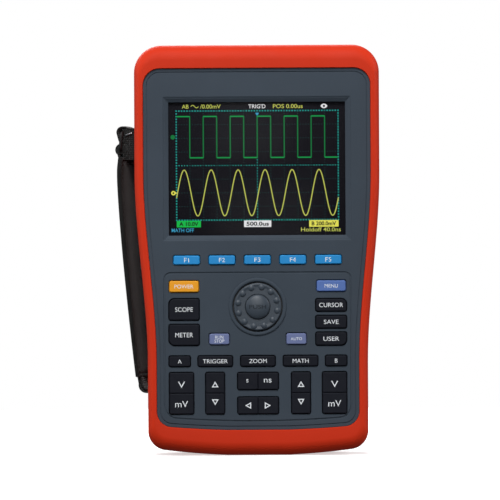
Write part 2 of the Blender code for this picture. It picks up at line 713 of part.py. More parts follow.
def make_ports(parts):
    """The two sockets in the right-hand side and the rubber cover that swings over them."""
    middle = (PORT_Y[0] + PORT_Y[1]) / 2
    across = (middle - SOCKET_HALF, middle + SOCKET_HALF)
    data = box("data_socket", (60, SOCKET_FACE), across, (222, 236), "steel", parts)
    cuts = collection("data_socket_cutters", shown=False)
    box("data_mouth", (64, 75), (middle - 4.2, middle + 4.2), (225, 233), None, cuts)
    boolean(data, "DIFFERENCE", cuts)
    tongues = collection("data_socket_tongue", shown=False)
    tongue = (middle - 1.6, middle + 1.6)
    box("data_tongue", (62, SOCKET_FACE - 1), tongue, (226.4, 231.6), None, tongues)
    boolean(data, "UNION", tongues)
    power = box("power_socket", (60, SOCKET_FACE), across, (206, 220), "black_plastic", parts)
    cuts = collection("power_socket_cutters", shown=False)
    cylinder("power_mouth", (63, middle, 213), (75, middle, 213), 3.2, None, cuts, 20)
    boolean(power, "DIFFERENCE", cuts)
    pins = collection("power_socket_pin", shown=False)
    cylinder("power_pin", (61, middle, 213), (SOCKET_FACE - 1, middle, 213), 1.0, None, pins, 12)
    boolean(power, "UNION", pins)
    inner, outer = HEAD_HALF_WIDTH - 2.5, HEAD_HALF_WIDTH
    hinge_z, hinge_x = PORT_Z[1] - 1.6, (inner + outer) / 2
    outline = [(inner, PORT_Z[0] + 0.35), (outer, PORT_Z[0] + 0.35)]
    outline += arc((hinge_x, hinge_z), (outer - inner) / 2, 0, 180, 6)
    plate("port_cover", [outline], (PORT_Y[0] + 0.35, PORT_Y[1] - 0.35), "rubber_red", parts)


# ------------------------------------------------------------ stand and screws
def make_stand(parts):
    """The flat stand in the rear recess. It swings on a steel rod through its upper edge."""
    low, high = STAND_LOW, STAND_HINGE_Z
    y = (STAND_HINGE_Y - STAND_BARREL, STAND_HINGE_Y + STAND_BARREL)
    outline = [(y[1], low), (y[1], high)]
    outline += arc((STAND_HINGE_Y, high), STAND_BARREL, 0, 180, 8)[1:-1]
    outline += [(y[0], high), (y[0], low)]
    half = STAND_HALF_WIDTH
    rings = [[(x, depth, z) for depth, z in outline] for x in (-half, half)]
    stand = loft("stand", rings, "case_grey", parts)
    cuts = collection("stand_cutters", shown=False)
    hinge = (STAND_HINGE_Y, STAND_HINGE_Z)
    cylinder("stand_bore", (-60, *hinge), (60, *hinge), 1.3, None, cuts, 12)
    pad = (-half + 6, half - 6)
    box("stand_pocket", pad, (STAND_HINGE_Y + 0.6, 30), (low + 10, high - 12), None, cuts)
    boolean(stand, "DIFFERENCE", cuts)
    pin = STAND_HALF_WIDTH + 4.0
    cylinder("stand_pin", (-pin, *hinge), (pin, *hinge), STAND_PIN_RADIUS, "steel", parts, 12)


def make_screws(parts):
    """Four long case screws and the short one that holds the battery door."""
    places = ("top_left", "top_right", "foot_left", "foot_right")
    long = [(0, 0), (1.4, 0), (1.4, -36), (2.9, -36), (2.9, -38), (0, -38)]
    for place, (x, z) in zip(places, CASE_SCREWS):
        turned(f"case_screw_{place}", long, (x, -12, z), "steel", parts, 12, axis="-Y")
    short = [(0, 5), (1.4, 5), (1.4, 0.4), (2.6, -0.8), (0, -0.8)]
    place = (0, DOOR_STEP + CLEARANCE, DOOR_SCREW_Z)
    turned("battery_door_screw", short, place, "steel", parts, 12, axis="-Y")


# --------------------------------------------------------------------- strap
def strap_edge(z):
    """The strap's outer front edge, which bows out along the instrument's left-hand side."""
    return STRAP_EDGE + STRAP_BOW * (max(0.0, STRAP_BOW_TOP - z) / 125.0) ** 1.3


def strap_section(z):
    """The half width and thickness of the pad at a height."""
    share = smooth((z - STRAP_FOOT) / 50.0)
    shoulder = smooth((STRAP_TOP - z) / STRAP_SHOULDER)
    return (13.0 + 2.2 * share) * (0.75 + 0.25 * shoulder), 3.0 + 0.8 * share


def make_strap(parts):
    """The padded hand strap, the ring that it hangs from and its two anchors."""
    near = [(-1, -0.5), (-1, 0.5), (-0.9, 1), (0.9, 1)]
    corners = near + [(-u, -n) for u, n in near]
    across, away = math.sin(STRAP_LEAN), math.cos(STRAP_LEAN)
    rings = []
    for i in range(11):
        z = STRAP_TOP - (STRAP_TOP - STRAP_FOOT) * i / 10
        half, thick = strap_section(z)
        widest = strap_section(min(z, STRAP_TOP - STRAP_SHOULDER))[0]
        middle = strap_edge(z) + widest * across + thick / 2 * away
        ring = []
        for u, n in corners:
            along, out = u * half, n * thick / 2
            x = middle + along * across - out * away
            ring.append((x, STRAP_Y + along * away + out * across, z))
        rings.append(ring)
    loft("strap_pad", rings, "fabric_black", parts)

    half = WEBBING_WIDTH / 2
    width = (-half, half)
    tail = STRAP_TOP + CLEARANCE
    fold = arc((0, RING_LOW_Z), 4.3, -40, 220, 10) + [(-2.4, tail), (2.4, tail)]
    eye = arc((0, RING_LOW_Z), 1.5, 0, 330, 11)
    made = plate("strap_fold", [fold, eye], width, "fabric_black", parts)
    lean_strap_piece(made, RING_X)

    reach = half + 2.3
    frame = (
        (0, -reach, RING_LOW_Z),
        (0, reach, RING_LOW_Z),
        (RING_TIP, reach, RING_HIGH_Z),
        (RING_TIP, -reach, RING_HIGH_Z),
    )
    made = wire("strap_ring", frame, 1.1, "steel", parts, closed=True)
    lean_strap_piece(made, RING_X)

    top = RING_HIGH_Z + 3.2
    loop = [(14.0, top - 3.4), (14.0, top)]
    loop += arc((RING_TIP, RING_HIGH_Z), 3.2, 90, 310, 10)
    loop += [(RING_TIP + 2.9, top - 3.4)]
    eye = arc((RING_TIP, RING_HIGH_Z), 1.5, 0, 330, 11)
    made = plate("strap_anchor_top", [loop, eye], width, "fabric_black", parts)
    lean_strap_piece(made, RING_X)

    tail = STRAP_FOOT - CLEARANCE
    outer = [(-0.2, tail), (1.4, 46.5)] + arc((6.6, 44.9), 5.2, 180, 270, 4) + [(13.0, 39.7)]
    inner = [(13.0, 43.0), (4.0, 43.0), (3.2, 43.9), (3.0, 46.0), (2.9, tail)]
    made = plate("strap_anchor_foot", [outer + inner], width, "fabric_black", parts)
    lean_strap_piece(made, FOOT_ANCHOR_X)


def main():
    clear_scene()
    parts = collection("handheld_oscilloscope")
    make_holster(parts)
    make_front_case(parts)
    make_rear_case(parts)
    make_display(parts)
    make_boards(parts)
    make_battery(parts)
    make_push_keys(parts)
    make_rocker_keys(parts)
    make_dial(parts)
    make_terminals(parts)
    make_ports(parts)
    make_stand(parts)
    make_screws(parts)
    make_strap(parts)


main()
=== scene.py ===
"""The looks of the handheld oscilloscope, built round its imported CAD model.

All sizes are in millimetres until a mesh is made. X is the width, -Y the front, +Z up.
"""

import json
import math

import bmesh
import bpy
from mathutils import Matrix, Vector

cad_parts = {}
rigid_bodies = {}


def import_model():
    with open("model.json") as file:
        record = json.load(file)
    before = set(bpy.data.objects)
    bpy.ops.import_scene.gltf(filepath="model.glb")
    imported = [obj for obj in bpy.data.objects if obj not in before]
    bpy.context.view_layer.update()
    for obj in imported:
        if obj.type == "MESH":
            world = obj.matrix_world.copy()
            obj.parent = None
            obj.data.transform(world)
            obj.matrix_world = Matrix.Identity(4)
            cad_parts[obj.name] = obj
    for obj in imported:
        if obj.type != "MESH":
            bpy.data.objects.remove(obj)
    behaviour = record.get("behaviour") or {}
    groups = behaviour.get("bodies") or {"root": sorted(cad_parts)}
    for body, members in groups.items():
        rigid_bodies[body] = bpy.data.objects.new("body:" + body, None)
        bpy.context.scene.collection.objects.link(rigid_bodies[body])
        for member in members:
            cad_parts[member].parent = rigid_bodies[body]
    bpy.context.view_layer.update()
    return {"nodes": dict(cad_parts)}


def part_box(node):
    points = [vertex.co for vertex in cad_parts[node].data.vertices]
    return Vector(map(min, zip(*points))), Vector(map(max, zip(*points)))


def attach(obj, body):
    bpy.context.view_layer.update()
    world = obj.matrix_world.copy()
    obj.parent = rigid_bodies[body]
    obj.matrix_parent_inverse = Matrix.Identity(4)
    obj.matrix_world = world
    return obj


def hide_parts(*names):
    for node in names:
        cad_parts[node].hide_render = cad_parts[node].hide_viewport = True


for startup_object in list(bpy.data.objects):
    bpy.data.objects.remove(startup_object)

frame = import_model()
MM = 0.001
BODY = "instrument"


def node_box(name):
    """A CAD node's lowest and highest corners in millimetres."""
    low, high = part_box(name)
    return Vector(low) / MM, Vector(high) / MM


def node_middle(name):
    return tuple((a + b) / 2 for a, b in zip(*node_box(name)))


# ------------------------------------------------------------------ outlines
HOLSTER_LOW, HOLSTER_HIGH = node_box("holster")
HEAD_HALF = HOLSTER_HIGH.x
FOOT_HALF = HEAD_HALF - 8.1
HEIGHT = HOLSTER_HIGH.z
FRONT, BACK = HOLSTER_LOW.y, HOLSTER_HIGH.y
CASE_FRONT = node_box("front_case")[0].y
CASE_BACK = node_box("rear_case")[1].y
WAIST = (60.0, 185.0)
FOOT_RADIUS = 480.0
PANEL_FOOT_RADIUS = 700.0
FOOT_FLAT = 20.0


def smooth(t):
    """0 before t reaches 0 and 1 after it passes 1, with a soft change between them."""
    t = min(1.0, max(0.0, t))
    return t * t * (3 - 2 * t)


def half_width(z):
    """Half the holster's width, which grows from the foot through the waist to the head."""
    return FOOT_HALF + (HEAD_HALF - FOOT_HALF) * smooth((z - WAIST[0]) / (WAIST[1] - WAIST[0]))


def arc(centre, radius, start, end, steps):
    """Points on an arc between two angles in degrees."""
    angles = [math.radians(start + (end - start) * i / steps) for i in range(steps + 1)]
    return [(centre[0] + radius * math.cos(a), centre[1] + radius * math.sin(a)) for a in angles]


def body_outline(side, top, foot, top_radius, foot_corner, foot_radius=FOOT_RADIUS):
    """The instrument's outline moved in by side, top and foot, anticlockwise."""
    flat = math.asin(FOOT_FLAT / foot_radius)
    lowest = foot - foot_radius * (1 - math.cos(flat))
    corner_x = FOOT_HALF - side - foot_corner
    reach = foot_radius - foot_corner
    corner_z = lowest + foot_radius - math.sqrt(reach**2 - corner_x**2)
    tangent = math.degrees(math.asin(corner_x / reach))
    right = arc((0, lowest + foot_radius), foot_radius, math.degrees(flat) - 90, tangent - 90, 8)
    right += arc((corner_x, corner_z), foot_corner, tangent - 90, 0, 12)[1:]
    for i in range(25):
        z = WAIST[0] - 5 + (WAIST[1] - WAIST[0] + 10) * i / 24
        right.append((half_width(z) - side, z))
    corner = (HEAD_HALF - side - top_radius, HEIGHT - top - top_radius)
    right += arc(corner, top_radius, 0, 90, 14)
    return right + [(-x, z) for x, z in reversed(right)]


def case_outline(extra=0.0):
    return body_outline(3.3 + extra, 5.3 + extra, 5.3 + extra, 14.5 - extra, 9.0 - extra)


def panel_outline(extra=0.0):
    return body_outline(
        6.0 + extra, 15.5 + extra, 16.7 + extra, 11.0 - extra, 10.0 - extra, PANEL_FOOT_RADIUS
    )


def rear_outline(extra):
    return body_outline(10.0 + extra, 10.0 + extra, 10.0 + extra, 10.0 - extra, 8.0 - extra)


def rounded(x, z, width, height, radius, steps=6, big=None, big_radius=3.6):
    """A rounded rectangle, anticlockwise. One named corner may have a larger radius."""
    corners = (("top_right", 1, 1), ("top_left", -1, 1), ("bottom_left", -1, -1), ("bottom_right", 1, -1))
    points = []
    for i, (name, side, up) in enumerate(corners):
        r = max(0.05, big_radius if name == big else radius)
        centre = (x + side * (width / 2 - r), z + up * (height / 2 - r))
        points += arc(centre, r, 90 * i, 90 * (i + 1), steps)
    return points


# ----------------------------------------------------------------- materials
def linear(red, green, blue):
    """Screen colour values from 0 to 255 as the linear ones that a shader takes."""
    shares = (red / 255, green / 255, blue / 255)
    return tuple(c / 12.92 if c <= 0.04045 else ((c + 0.055) / 1.055) ** 2.4 for c in shares)


def shader_tree(name):
    """A new material with its node tree, its shader and the object's own coordinates."""
    made = bpy.data.materials.new(name)
    made.use_nodes = True
    tree = made.node_tree
    return made, tree, tree.nodes["Principled BSDF"], add_node(tree, "TexCoord", "Object", {})


def feed(tree, node, inputs):
    """Sets a node's inputs, each to a value or to another node's output."""
    for name, value in inputs.items():
        if isinstance(value, bpy.types.NodeSocket):
            tree.links.new(value, node.inputs[name])
        else:
            node.inputs[name].default_value = value


def add_node(tree, kind, output, inputs, **settings):
    """Adds a shader node with its settings and inputs, and gives one of its outputs."""
    node = tree.nodes.new("ShaderNode" + kind)
    for setting, value in settings.items():
        setattr(node, setting, value)
    feed(tree, node, inputs)
    return node.outputs[output]


def scaled(colour, factor, lift=0.0):
    """A darker or paler version of a colour."""
    return tuple(min(1.0, c * factor + lift) for c in colour)


def noise(tree, where, scale, detail=3.0, roughness=0.5):
    inputs = {"Scale": scale, "Detail": detail, "Roughness": roughness, "Vector": where}
    return add_node(tree, "TexNoise", "Fac", inputs)


def spread(tree, value, low, high, from_low=0.3, from_high=0.7):
    limits = {"From Min": from_low, "From Max": from_high, "To Min": low, "To Max": high}
    return add_node(tree, "MapRange", "Result", {**limits, "Value": value})


def blend_colours(tree, share, first, second):
    node = tree.nodes.new("ShaderNodeMix")
    node.data_type = "RGBA"
    inputs = {"Factor": share}
    for i, socket in enumerate(node.inputs):
        if socket.type == "RGBA":
            colour = first if socket.name == "A" else second
            inputs[i] = (*colour, 1) if isinstance(colour, tuple) else colour
    feed(tree, node, inputs)
    return [s for s in node.outputs if s.type == "RGBA"][0]


def join_values(tree, operation, first, second):
    return add_node(tree, "Math", "Value", {0: first, 1: second}, operation=operation)


def add_bump(tree, shader, height, strength, distance):
    inputs = {"Strength": strength, "Distance": distance, "Height": height}
    feed(tree, shader, {"Normal": add_node(tree, "Bump", "Normal", inputs)})


def moulded(name, colour, roughness, grain, grain_depth, grain_strength, mottle, wear=0.0, specular=0.5):
    """Moulded rubber or plastic: a fine grain, slow changes of tone and paler worn edges."""
    made, tree, shader, where = shader_tree(name)
    base = linear(*colour)
    slow = spread(tree, noise(tree, where, 22.0, 4.0), 0.0, 1.0)
    tone = blend_colours(tree, slow, scaled(base, 1 - mottle), scaled(base, 1 + mottle))
    if wear:
        edge = add_node(tree, "NewGeometry", "Pointiness", {})
        share = spread(tree, edge, 0.0, wear, 0.52, 0.62)
        patchy = join_values(tree, "MULTIPLY", share, spread(tree, noise(tree, where, 160.0), 0.2, 1.0))
        tone = blend_colours(tree, patchy, tone, scaled(base, 1.35, 0.02))
    rough = spread(tree, noise(tree, where, 60.0, 5.0, 0.65), roughness - 0.06, roughness + 0.07)
    feed(tree, shader, {"Base Color": tone, "Roughness": rough, "Specular IOR Level": specular})
    add_bump(tree, shader, noise(tree, where, grain, 2.0, 0.6), grain_strength, grain_depth)
    return made


def metal(name, colour, roughness):
    """Plated or turned metal with fine turning marks and faint smudges."""
    made, tree, shader, where = shader_tree(name)
    base = linear(*colour)
    smudge = spread(tree, noise(tree, where, 90.0, 5.0, 0.7), 0.0, 1.0)
    tone = blend_colours(tree, smudge, scaled(base, 0.88), base)
    rough = spread(tree, noise(tree, where, 400.0, 4.0, 0.7), roughness * 0.7, roughness * 1.4)
    feed(tree, shader, {"Base Color": tone, "Metallic": 1.0, "Roughness": rough})
    add_bump(tree, shader, noise(tree, where, 1500.0, 3.0), 0.12, 0.00003)
    return made


def woven(name, colour, pitch, diagonal, depth, sheen):
    """Cloth with two crossed sets of threads, straight or at 45 degrees."""
    made, tree, shader, where = shader_tree(name)
    turn = (math.radians(45 if diagonal else 0), 0, math.radians(13))
    lay = add_node(tree, "Mapping", "Vector", {"Rotation": turn, "Vector": where})
    thread = {"Scale": 2 * math.pi / pitch / 20, "Distortion": 0.25, "Detail": 2.0, "Detail Scale": 300.0}
    thread["Vector"] = lay
    waves = [add_node(tree, "TexWave", "Fac", thread, bands_direction=way) for way in ("Y", "Z")]
    weave = join_values(tree, "POWER", join_values(tree, "MULTIPLY", *waves), 0.6)
    fuzz = noise(tree, where, 2600.0, 3.0, 0.7)
    height = join_values(tree, "ADD", weave, join_values(tree, "MULTIPLY", fuzz, 0.35))
    base = linear(*colour)
    threads = blend_colours(tree, weave, scaled(base, 0.35), scaled(base, 1.5))
    dusty = spread(tree, noise(tree, where, 35.0, 5.0, 0.7), 0.0, 0.35)
    tone = blend_colours(tree, dusty, threads, scaled(base, 1.9))
    feed(tree, shader, {"Base Color": tone, "Roughness": spread(tree, fuzz, 0.78, 0.95)})
    feed(tree, shader, {"Sheen Weight": sheen, "Sheen Roughness": 0.5, "Specular IOR Level": 0.2})
    add_bump(tree, shader, height, 0.7, depth)
    return made


def lit(name, colour):
    """A glowing part of the display's picture. Its brightness changes a little from dot to dot."""
    made, tree, shader, where = shader_tree(name)
    base = linear(*colour)
    dots = spread(tree, noise(tree, where, 3000.0, 1.0), 0.0, 1.0)
    tone = blend_colours(tree, dots, scaled(base, 0.82), base)
    feed(tree, shader, {"Emission Color": tone, "Emission Strength": 1.0, "Base Color": (0, 0, 0, 1)})
    feed(tree, shader, {"Roughness": 0.6, "Specular IOR Level": 0.1})
    return made


def clear_glass(name):
    """Hard-coated window, faintly smudged. It is thin and flat, so it doesn't bend what is behind it."""
    made, tree, shader, where = shader_tree(name)
    smudge = noise(tree, where, 70.0, 5.0, 0.7)
    feed(tree, shader, {"Base Color": (0.02, 0.02, 0.025, 1), "Alpha": spread(tree, smudge, 0.02, 0.035)})
    feed(tree, shader, {"Roughness": spread(tree, smudge, 0.12, 0.2)})
    return made


RUBBER = moulded("holster_rubber", (204, 50, 22), 0.58, 1500.0, 0.00005, 0.22, 0.035, 0.12, 0.12)
PANEL = moulded("panel_plastic", (62, 71, 81), 0.7, 2600.0, 0.00006, 0.6, 0.06, 0.12, 0.14)
DIAL_PLASTIC = moulded("dial_plastic", (57, 66, 76), 0.42, 2600.0, 0.00005, 0.35, 0.06, 0.1, 0.42)
KEY_BLACK = moulded("key_black", (25, 27, 35), 0.6, 2400.0, 0.00004, 0.3, 0.08, 0.1, 0.1)
KEY_BLUE = moulded("key_blue", (36, 138, 204), 0.5, 2400.0, 0.00004, 0.25, 0.04, 0.1, 0.2)
KEY_ORANGE = moulded("key_orange", (238, 160, 32), 0.5, 2400.0, 0.00004, 0.25, 0.04, 0.1, 0.2)
KEY_INDIGO = moulded("key_indigo", (86, 114, 176), 0.5, 2400.0, 0.00004, 0.25, 0.05, 0.1, 0.2)
KEY_LILAC = moulded("key_lilac", (108, 119, 160), 0.5, 2400.0, 0.00004, 0.25, 0.05, 0.1, 0.2)
PRINT_WHITE = moulded("print_white", (232, 236, 240), 0.45, 3000.0, 0.00002, 0.2, 0.03)
PRINT_FAINT = moulded("print_faint", (38, 43, 49), 0.6, 3000.0, 0.00002, 0.2, 0.05, specular=0.1)
BLACK_PLASTIC = moulded("black_plastic", (27, 28, 30), 0.45, 1800.0, 0.00005, 0.3, 0.1, 0.3)
RED_PLASTIC = moulded("red_plastic", (176, 28, 24), 0.35, 1800.0, 0.00003, 0.2, 0.06, 0.2)
IVORY = moulded("ivory_plastic", (222, 216, 200), 0.4, 1800.0, 0.00003, 0.2, 0.04)
BOARD = moulded("board_green", (22, 74, 44), 0.4, 900.0, 0.00008, 0.4, 0.2)
SCREEN = moulded("screen_black", (20, 19, 25), 0.6, 3000.0, 0.00001, 0.05, 0.06, specular=0.05)
ENAMEL = moulded("black_enamel", (20, 21, 22), 0.5, 900.0, 0.00002, 0.15, 0.1, 0.15, 0.25)
NICKEL = metal("nickel", (205, 205, 200), 0.22)
STEEL = metal("steel", (196, 198, 202), 0.28)
GOLD = metal("gold_plate", (225, 180, 92), 0.2)
PAD_CLOTH = woven("pad_cloth", (36, 37, 37), 0.0011, True, 0.00018, 0.12)
WEBBING = woven("webbing", (26, 28, 28), 0.0014, False, 0.0003, 0.12)
BINDING = woven("binding", (18, 19, 19), 0.0008, False, 0.00012, 0.08)
THREAD = woven("thread", (46, 47, 46), 0.0004, True, 0.00005, 0.2)
GLASS = clear_glass("window_glass")
GLOW_GREEN = lit("glow_green", (16, 154, 74))
GLOW_DEEP = lit("glow_deep_green", (14, 122, 60))
GLOW_LABEL = lit("glow_label_green", (18, 190, 74))
GLOW_YELLOW = lit("glow_yellow", (196, 202, 92))
GLOW_BRIGHT = lit("glow_bright_yellow", (238, 234, 92))
GLOW_TEAL = lit("glow_teal", (24, 160, 152))
GLOW_GRID = lit("glow_grid", (24, 56, 56))
GLOW_WHITE = lit("glow_white", (238, 238, 240))
GLOW_SKY = lit("glow_sky", (60, 160, 200))
GLOW_INK = lit("glow_ink", (22, 22, 26))


# ------------------------------------------------------------- mesh builders
def link_object(name, data):
    """Makes an object of a mesh, a curve, a lamp or a camera, in the scene."""
    made = bpy.data.objects.new(name, data)
    bpy.context.scene.collection.objects.link(made)
    return made


def metre_mesh(name, shape):
    """A mesh in metres of a bmesh in millimetres, with its faces turned outwards."""
    bmesh.ops.recalc_face_normals(shape, faces=shape.faces)
    mesh = bpy.data.meshes.new(name)
    shape.to_mesh(mesh)
    shape.free()
    mesh.transform(Matrix.Scale(MM, 4))
    return mesh


def finish_piece(name, shape, look, body=BODY, replaces=(), angle=32.0):
    mesh = metre_mesh(name, shape)
    mesh.materials.append(look)
    mesh.shade_smooth()
    mesh.set_sharp_from_angle(angle=math.radians(angle))
    piece = link_object(name, mesh)
    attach(piece, body)
    if replaces:
        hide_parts(*replaces)
    return piece


def add_rings(shape, rings, closed=False):
    """Adds a skin over rings of (x, y, z) points. A closed one joins its last ring to its first."""
    rows = [[shape.verts.new(p) for p in ring] for ring in rings]
    pairs = list(zip(rows, rows[1:]))
    if closed:
        pairs.append((rows[-1], rows[0]))
    for low, high in pairs:
        for i in range(len(low)):
            j = (i + 1) % len(low)
            shape.faces.new((low[i], low[j], high[j], high[i]))
    if not closed:
        shape.faces.new(rows[0])
        shape.faces.new(rows[-1])
    return shape


def solid(rings, closed=False):
    return add_rings(bmesh.new(), rings, closed)


def flat(outline, y):
    """An outline in X and Z as points at one depth."""
    return [(x, y, z) for x, z in outline]


def level(outline, z):
    """An outline in X and Y as points at one height."""
    return [(x, y, z) for x, y in outline]


def sideways(outline, x):
    """An outline in Y and Z as points at one place across."""
    return [(x, y, z) for y, z in outline]


def slab(outline, *depths):
    """A plate with the same outline in X and Z at two depths."""
    return solid([flat(outline, y) for y in depths])


def quarter(steps, first=0, last=None):
    """The angles of a quarter turn in equal steps."""
    return [math.pi / 2 * i / steps for i in range(first, (steps if last is None else last) + 1)]


def prism(x, z, width, height, radius, levels, steps=6):
    """A rounded rectangle through (depth, growth) levels along Y, as a solid."""
    rings = []
    for y, grow in levels:
        rings.append(flat(rounded(x, z, width + 2 * grow, height + 2 * grow, radius + grow, steps), y))
    return solid(rings)


def soft_power(value, power):
    """A power that keeps its value's sign. It turns a circle into a rounded rectangle."""
    return math.copysign(abs(value) ** power, value)


def add_turned(shape, profile, place, axis, steps):
    """Adds a turned solid. The profile holds (radius, height) points and may touch the axis."""
    to_world = Matrix.Translation(place)
    if axis == "-Y":
        to_world = to_world @ Matrix.Rotation(math.radians(90), 4, "X")
    if axis == "X":
        to_world = to_world @ Matrix.Rotation(math.radians(90), 4, "Y")
    columns = []
    for radius, height in profile:
        if radius < 1e-6:
            columns.append([shape.verts.new(to_world @ Vector((0, 0, height)))])
            continue
        row = []
        for i in range(steps):
            angle = 2 * math.pi * i / steps
            spot = Vector((radius * math.cos(angle), radius * math.sin(angle), height))
            row.append(shape.verts.new(to_world @ spot))
        columns.append(row)
    pairs = list(zip(columns, columns[1:]))
    if len(columns[0]) > 1 and len(columns[-1]) > 1:
        pairs.append((columns[-1], columns[0]))
    for low, high in pairs:
        for i in range(steps):
            j = (i + 1) % steps
            corners = [low[i % len(low)], low[j % len(low)], high[j % len(high)], high[i % len(high)]]
            unique = list(dict.fromkeys(corners))
            if len(unique) > 2:
                shape.faces.new(unique)
    return shape


def turned(profile, place, axis, steps):
    return add_turned(bmesh.new(), profile, place, axis, steps)


def add_ball(shape, place, radius, squash, segments):
    size = Matrix.Diagonal((radius, radius * squash, radius, 1))
    place = Matrix.Translation(place) @ size
    bmesh.ops.create_uvsphere(shape, u_segments=segments, v_segments=segments // 2, radius=1, matrix=place)


def add_block(shape, x, y, z, bevel, segments=2):
    """Adds a block between two values along each axis, with rounded edges."""
    part = bmesh.new()
    size = [span[1] - span[0] for span in (x, y, z)]
    middle = [(span[0] + span[1]) / 2 for span in (x, y, z)]
    bmesh.ops.create_cube(part, size=1, matrix=Matrix.Translation(middle) @ Matrix.Diagonal((*size, 1)))
    if bevel:
        rim = {"geom": part.edges[:], "offset": bevel, "segments": segments}
        bmesh.ops.bevel(part, **rim, profile=0.5, affect="EDGES", clamp_overlap=True)
    return merge(shape, part)


def block(x, y, z, bevel=0.0, segments=2):
    return add_block(bmesh.new(), x, y, z, bevel, segments)


def moved(shape, place, angle, axis):
    """Turns a shape about an axis through the origin and puts it in its place."""
    shape.transform(Matrix.Translation(place) @ Matrix.Rotation(angle, 4, axis))
    return shape


def merge(shape, part):
    mesh = bpy.data.meshes.new("part")
    part.to_mesh(mesh)
    part.free()
    shape.from_mesh(mesh)
    bpy.data.meshes.remove(mesh)
    return shape


def curve_shape(curve, turn=None, weld=True):
    """A bmesh of a curve, in the curve's own coordinates or turned."""
    helper = link_object("helper", curve)
    bpy.context.view_layer.update()
    graph = bpy.context.evaluated_depsgraph_get()
    mesh = bpy.data.meshes.new_from_object(helper.evaluated_get(graph))
    bpy.data.objects.remove(helper)
    bpy.data.curves.remove(curve)
    if turn:
        mesh.transform(turn)
    shape = bmesh.new()
    shape.from_mesh(mesh)
    bpy.data.meshes.remove(mesh)
    if weld:
        bmesh.ops.remove_doubles(shape, verts=shape.verts, dist=1e-4)
    return shape


def add_loop(curve, points):
    """Adds a closed line through (x, y, z) points to a curve."""
    spline = curve.splines.new("POLY")
    spline.points.add(len(points) - 1)
    for point, place in zip(spline.points, points):
        point.co = (*place, 1)
    spline.use_cyclic_u = True


def add_plate(shape, outer, holes, front, back, bevel, segments=3):
    """Adds a plate with rounded rims: an outer outline and holes in X and Z, between two depths."""
    curve = bpy.data.curves.new("plate", "CURVE")
    curve.dimensions = "2D"
    curve.fill_mode = "BOTH"
    curve.extrude = (back - front) / 2 - bevel
    curve.bevel_depth = bevel
    curve.bevel_resolution = segments - 1
    curve.offset = -bevel
    for outline in [outer] + [list(reversed(hole)) for hole in holes]:
        add_loop(curve, level(outline, 0))
    turn = Matrix.Translation((0, (front + back) / 2, 0)) @ Matrix.Rotation(math.radians(90), 4, "X")
    merge(shape, curve_shape(curve, turn))


def add_letters(shape, text, x, z, height, y, width=None, bold=0.0, depth=0.04, warp=None):
    """Adds lettering that faces the front, centred on x and z, with a given height of its capitals."""
    curve = bpy.data.curves.new("letters", "FONT")
    curve.body = text
    curve.align_x = "CENTER"
    curve.size = 10.0
    curve.resolution_u = 4
    curve.offset = bold
    curve.space_line = 0.85
    part = curve_shape(curve)
    xs = [v.co.x for v in part.verts]
    zs = [v.co.y for v in part.verts]
    tall = height / (max(zs) - min(zs))
    wide = width / (max(xs) - min(xs)) if width else tall
    middle = ((max(xs) + min(xs)) / 2, (max(zs) + min(zs)) / 2)
    for vert in part.verts:
        vert.co = ((vert.co.x - middle[0]) * wide + x, y - depth, (vert.co.y - middle[1]) * tall + z)
    extruded = bmesh.ops.extrude_face_region(part, geom=part.faces[:])
    rear = [g for g in extruded["geom"] if isinstance(g, bmesh.types.BMVert)]
    bmesh.ops.translate(part, verts=rear, vec=(0, depth, 0))
    if warp:
        for vert in part.verts:
            vert.co.y += warp(vert.co.x, vert.co.z)
    merge(shape, part)


def add_ribbon(shape, points, thickness, y):
    """Adds a thin flat line through (x, z) points."""
    depth = 0.04
    rings = []
    for i, (x, z) in enumerate(points):
        before = points[max(0, i - 1)]
        after = points[min(len(points) - 1, i + 1)]
        along = Vector((after[0] - before[0], after[1] - before[1])).normalized()
        side = Vector((-along.y, along.x)) * thickness / 2
        left, right = (x + side.x, z + side.y), (x - side.x, z - side.y)
        rings.append(flat([left, right], y - depth) + flat([right, left], y))
    add_rings(shape, rings)


def cut(piece, cutters):
    """Cuts a list of bmeshes, in millimetres, out of a piece and keeps its material."""
    for cutter in cutters:
        helper = link_object("cutter", metre_mesh("cutter", cutter))
        modifier = piece.modifiers.new("cut", "BOOLEAN")
        modifier.object = helper
        modifier.operation = "DIFFERENCE"
        modifier.solver = "EXACT"
        bake(piece)
        bpy.data.objects.remove(helper)
    piece.data.shade_smooth()
    piece.data.set_sharp_from_angle(angle=math.radians(32))


def bake(piece):
    """Applies a piece's modifiers."""
    bpy.context.view_layer.update()
    graph = bpy.context.evaluated_depsgraph_get()
    mesh = bpy.data.meshes.new_from_object(piece.evaluated_get(graph))
    old = piece.data
    piece.modifiers.clear()
    piece.data = mesh
    bpy.data.meshes.remove(old)


def even_shading(piece):
    """Keeps large flat faces flat next to their rounded rims."""
    modifier = piece.modifiers.new("even", "WEIGHTED_NORMAL")
    modifier.keep_sharp = True
    modifier.weight = 100
    bake(piece)


# -------------------------------------------------------------------- holster
FRONT_ROUND = (5.0, 10.0, 9.0)
BACK_ROUND = (8.0, 8.0, 7.0)
ROUND_DEPTH = 9.0
LIP_BACK = CASE_FRONT + 1.7
REAR_LIP = BACK - 2.7
GRIP_COUNT = 11
GRIP_Z = 78.0
GRIP_PITCH = 6.4
STRAP_Y = 12.6
STRAP_LEAN = math.radians(13)
PAD_LEAN = math.radians(18.5)  # the pad turns a little further, so that its rear edge goes behind the case
SLOT_HALF = 9.4  # half the length of a slot for the strap's webbing
FOOT_SLOT = (39.3, 43.4)
HEAD_SLOT = (211.2, 215.4)


def holster_ring(share, rounding, y):
    side, top, foot = (r * share for r in rounding)
    return flat(body_outline(side, top, foot, 18.0 - 7 * share, 12.5 - 2.5 * share), y)


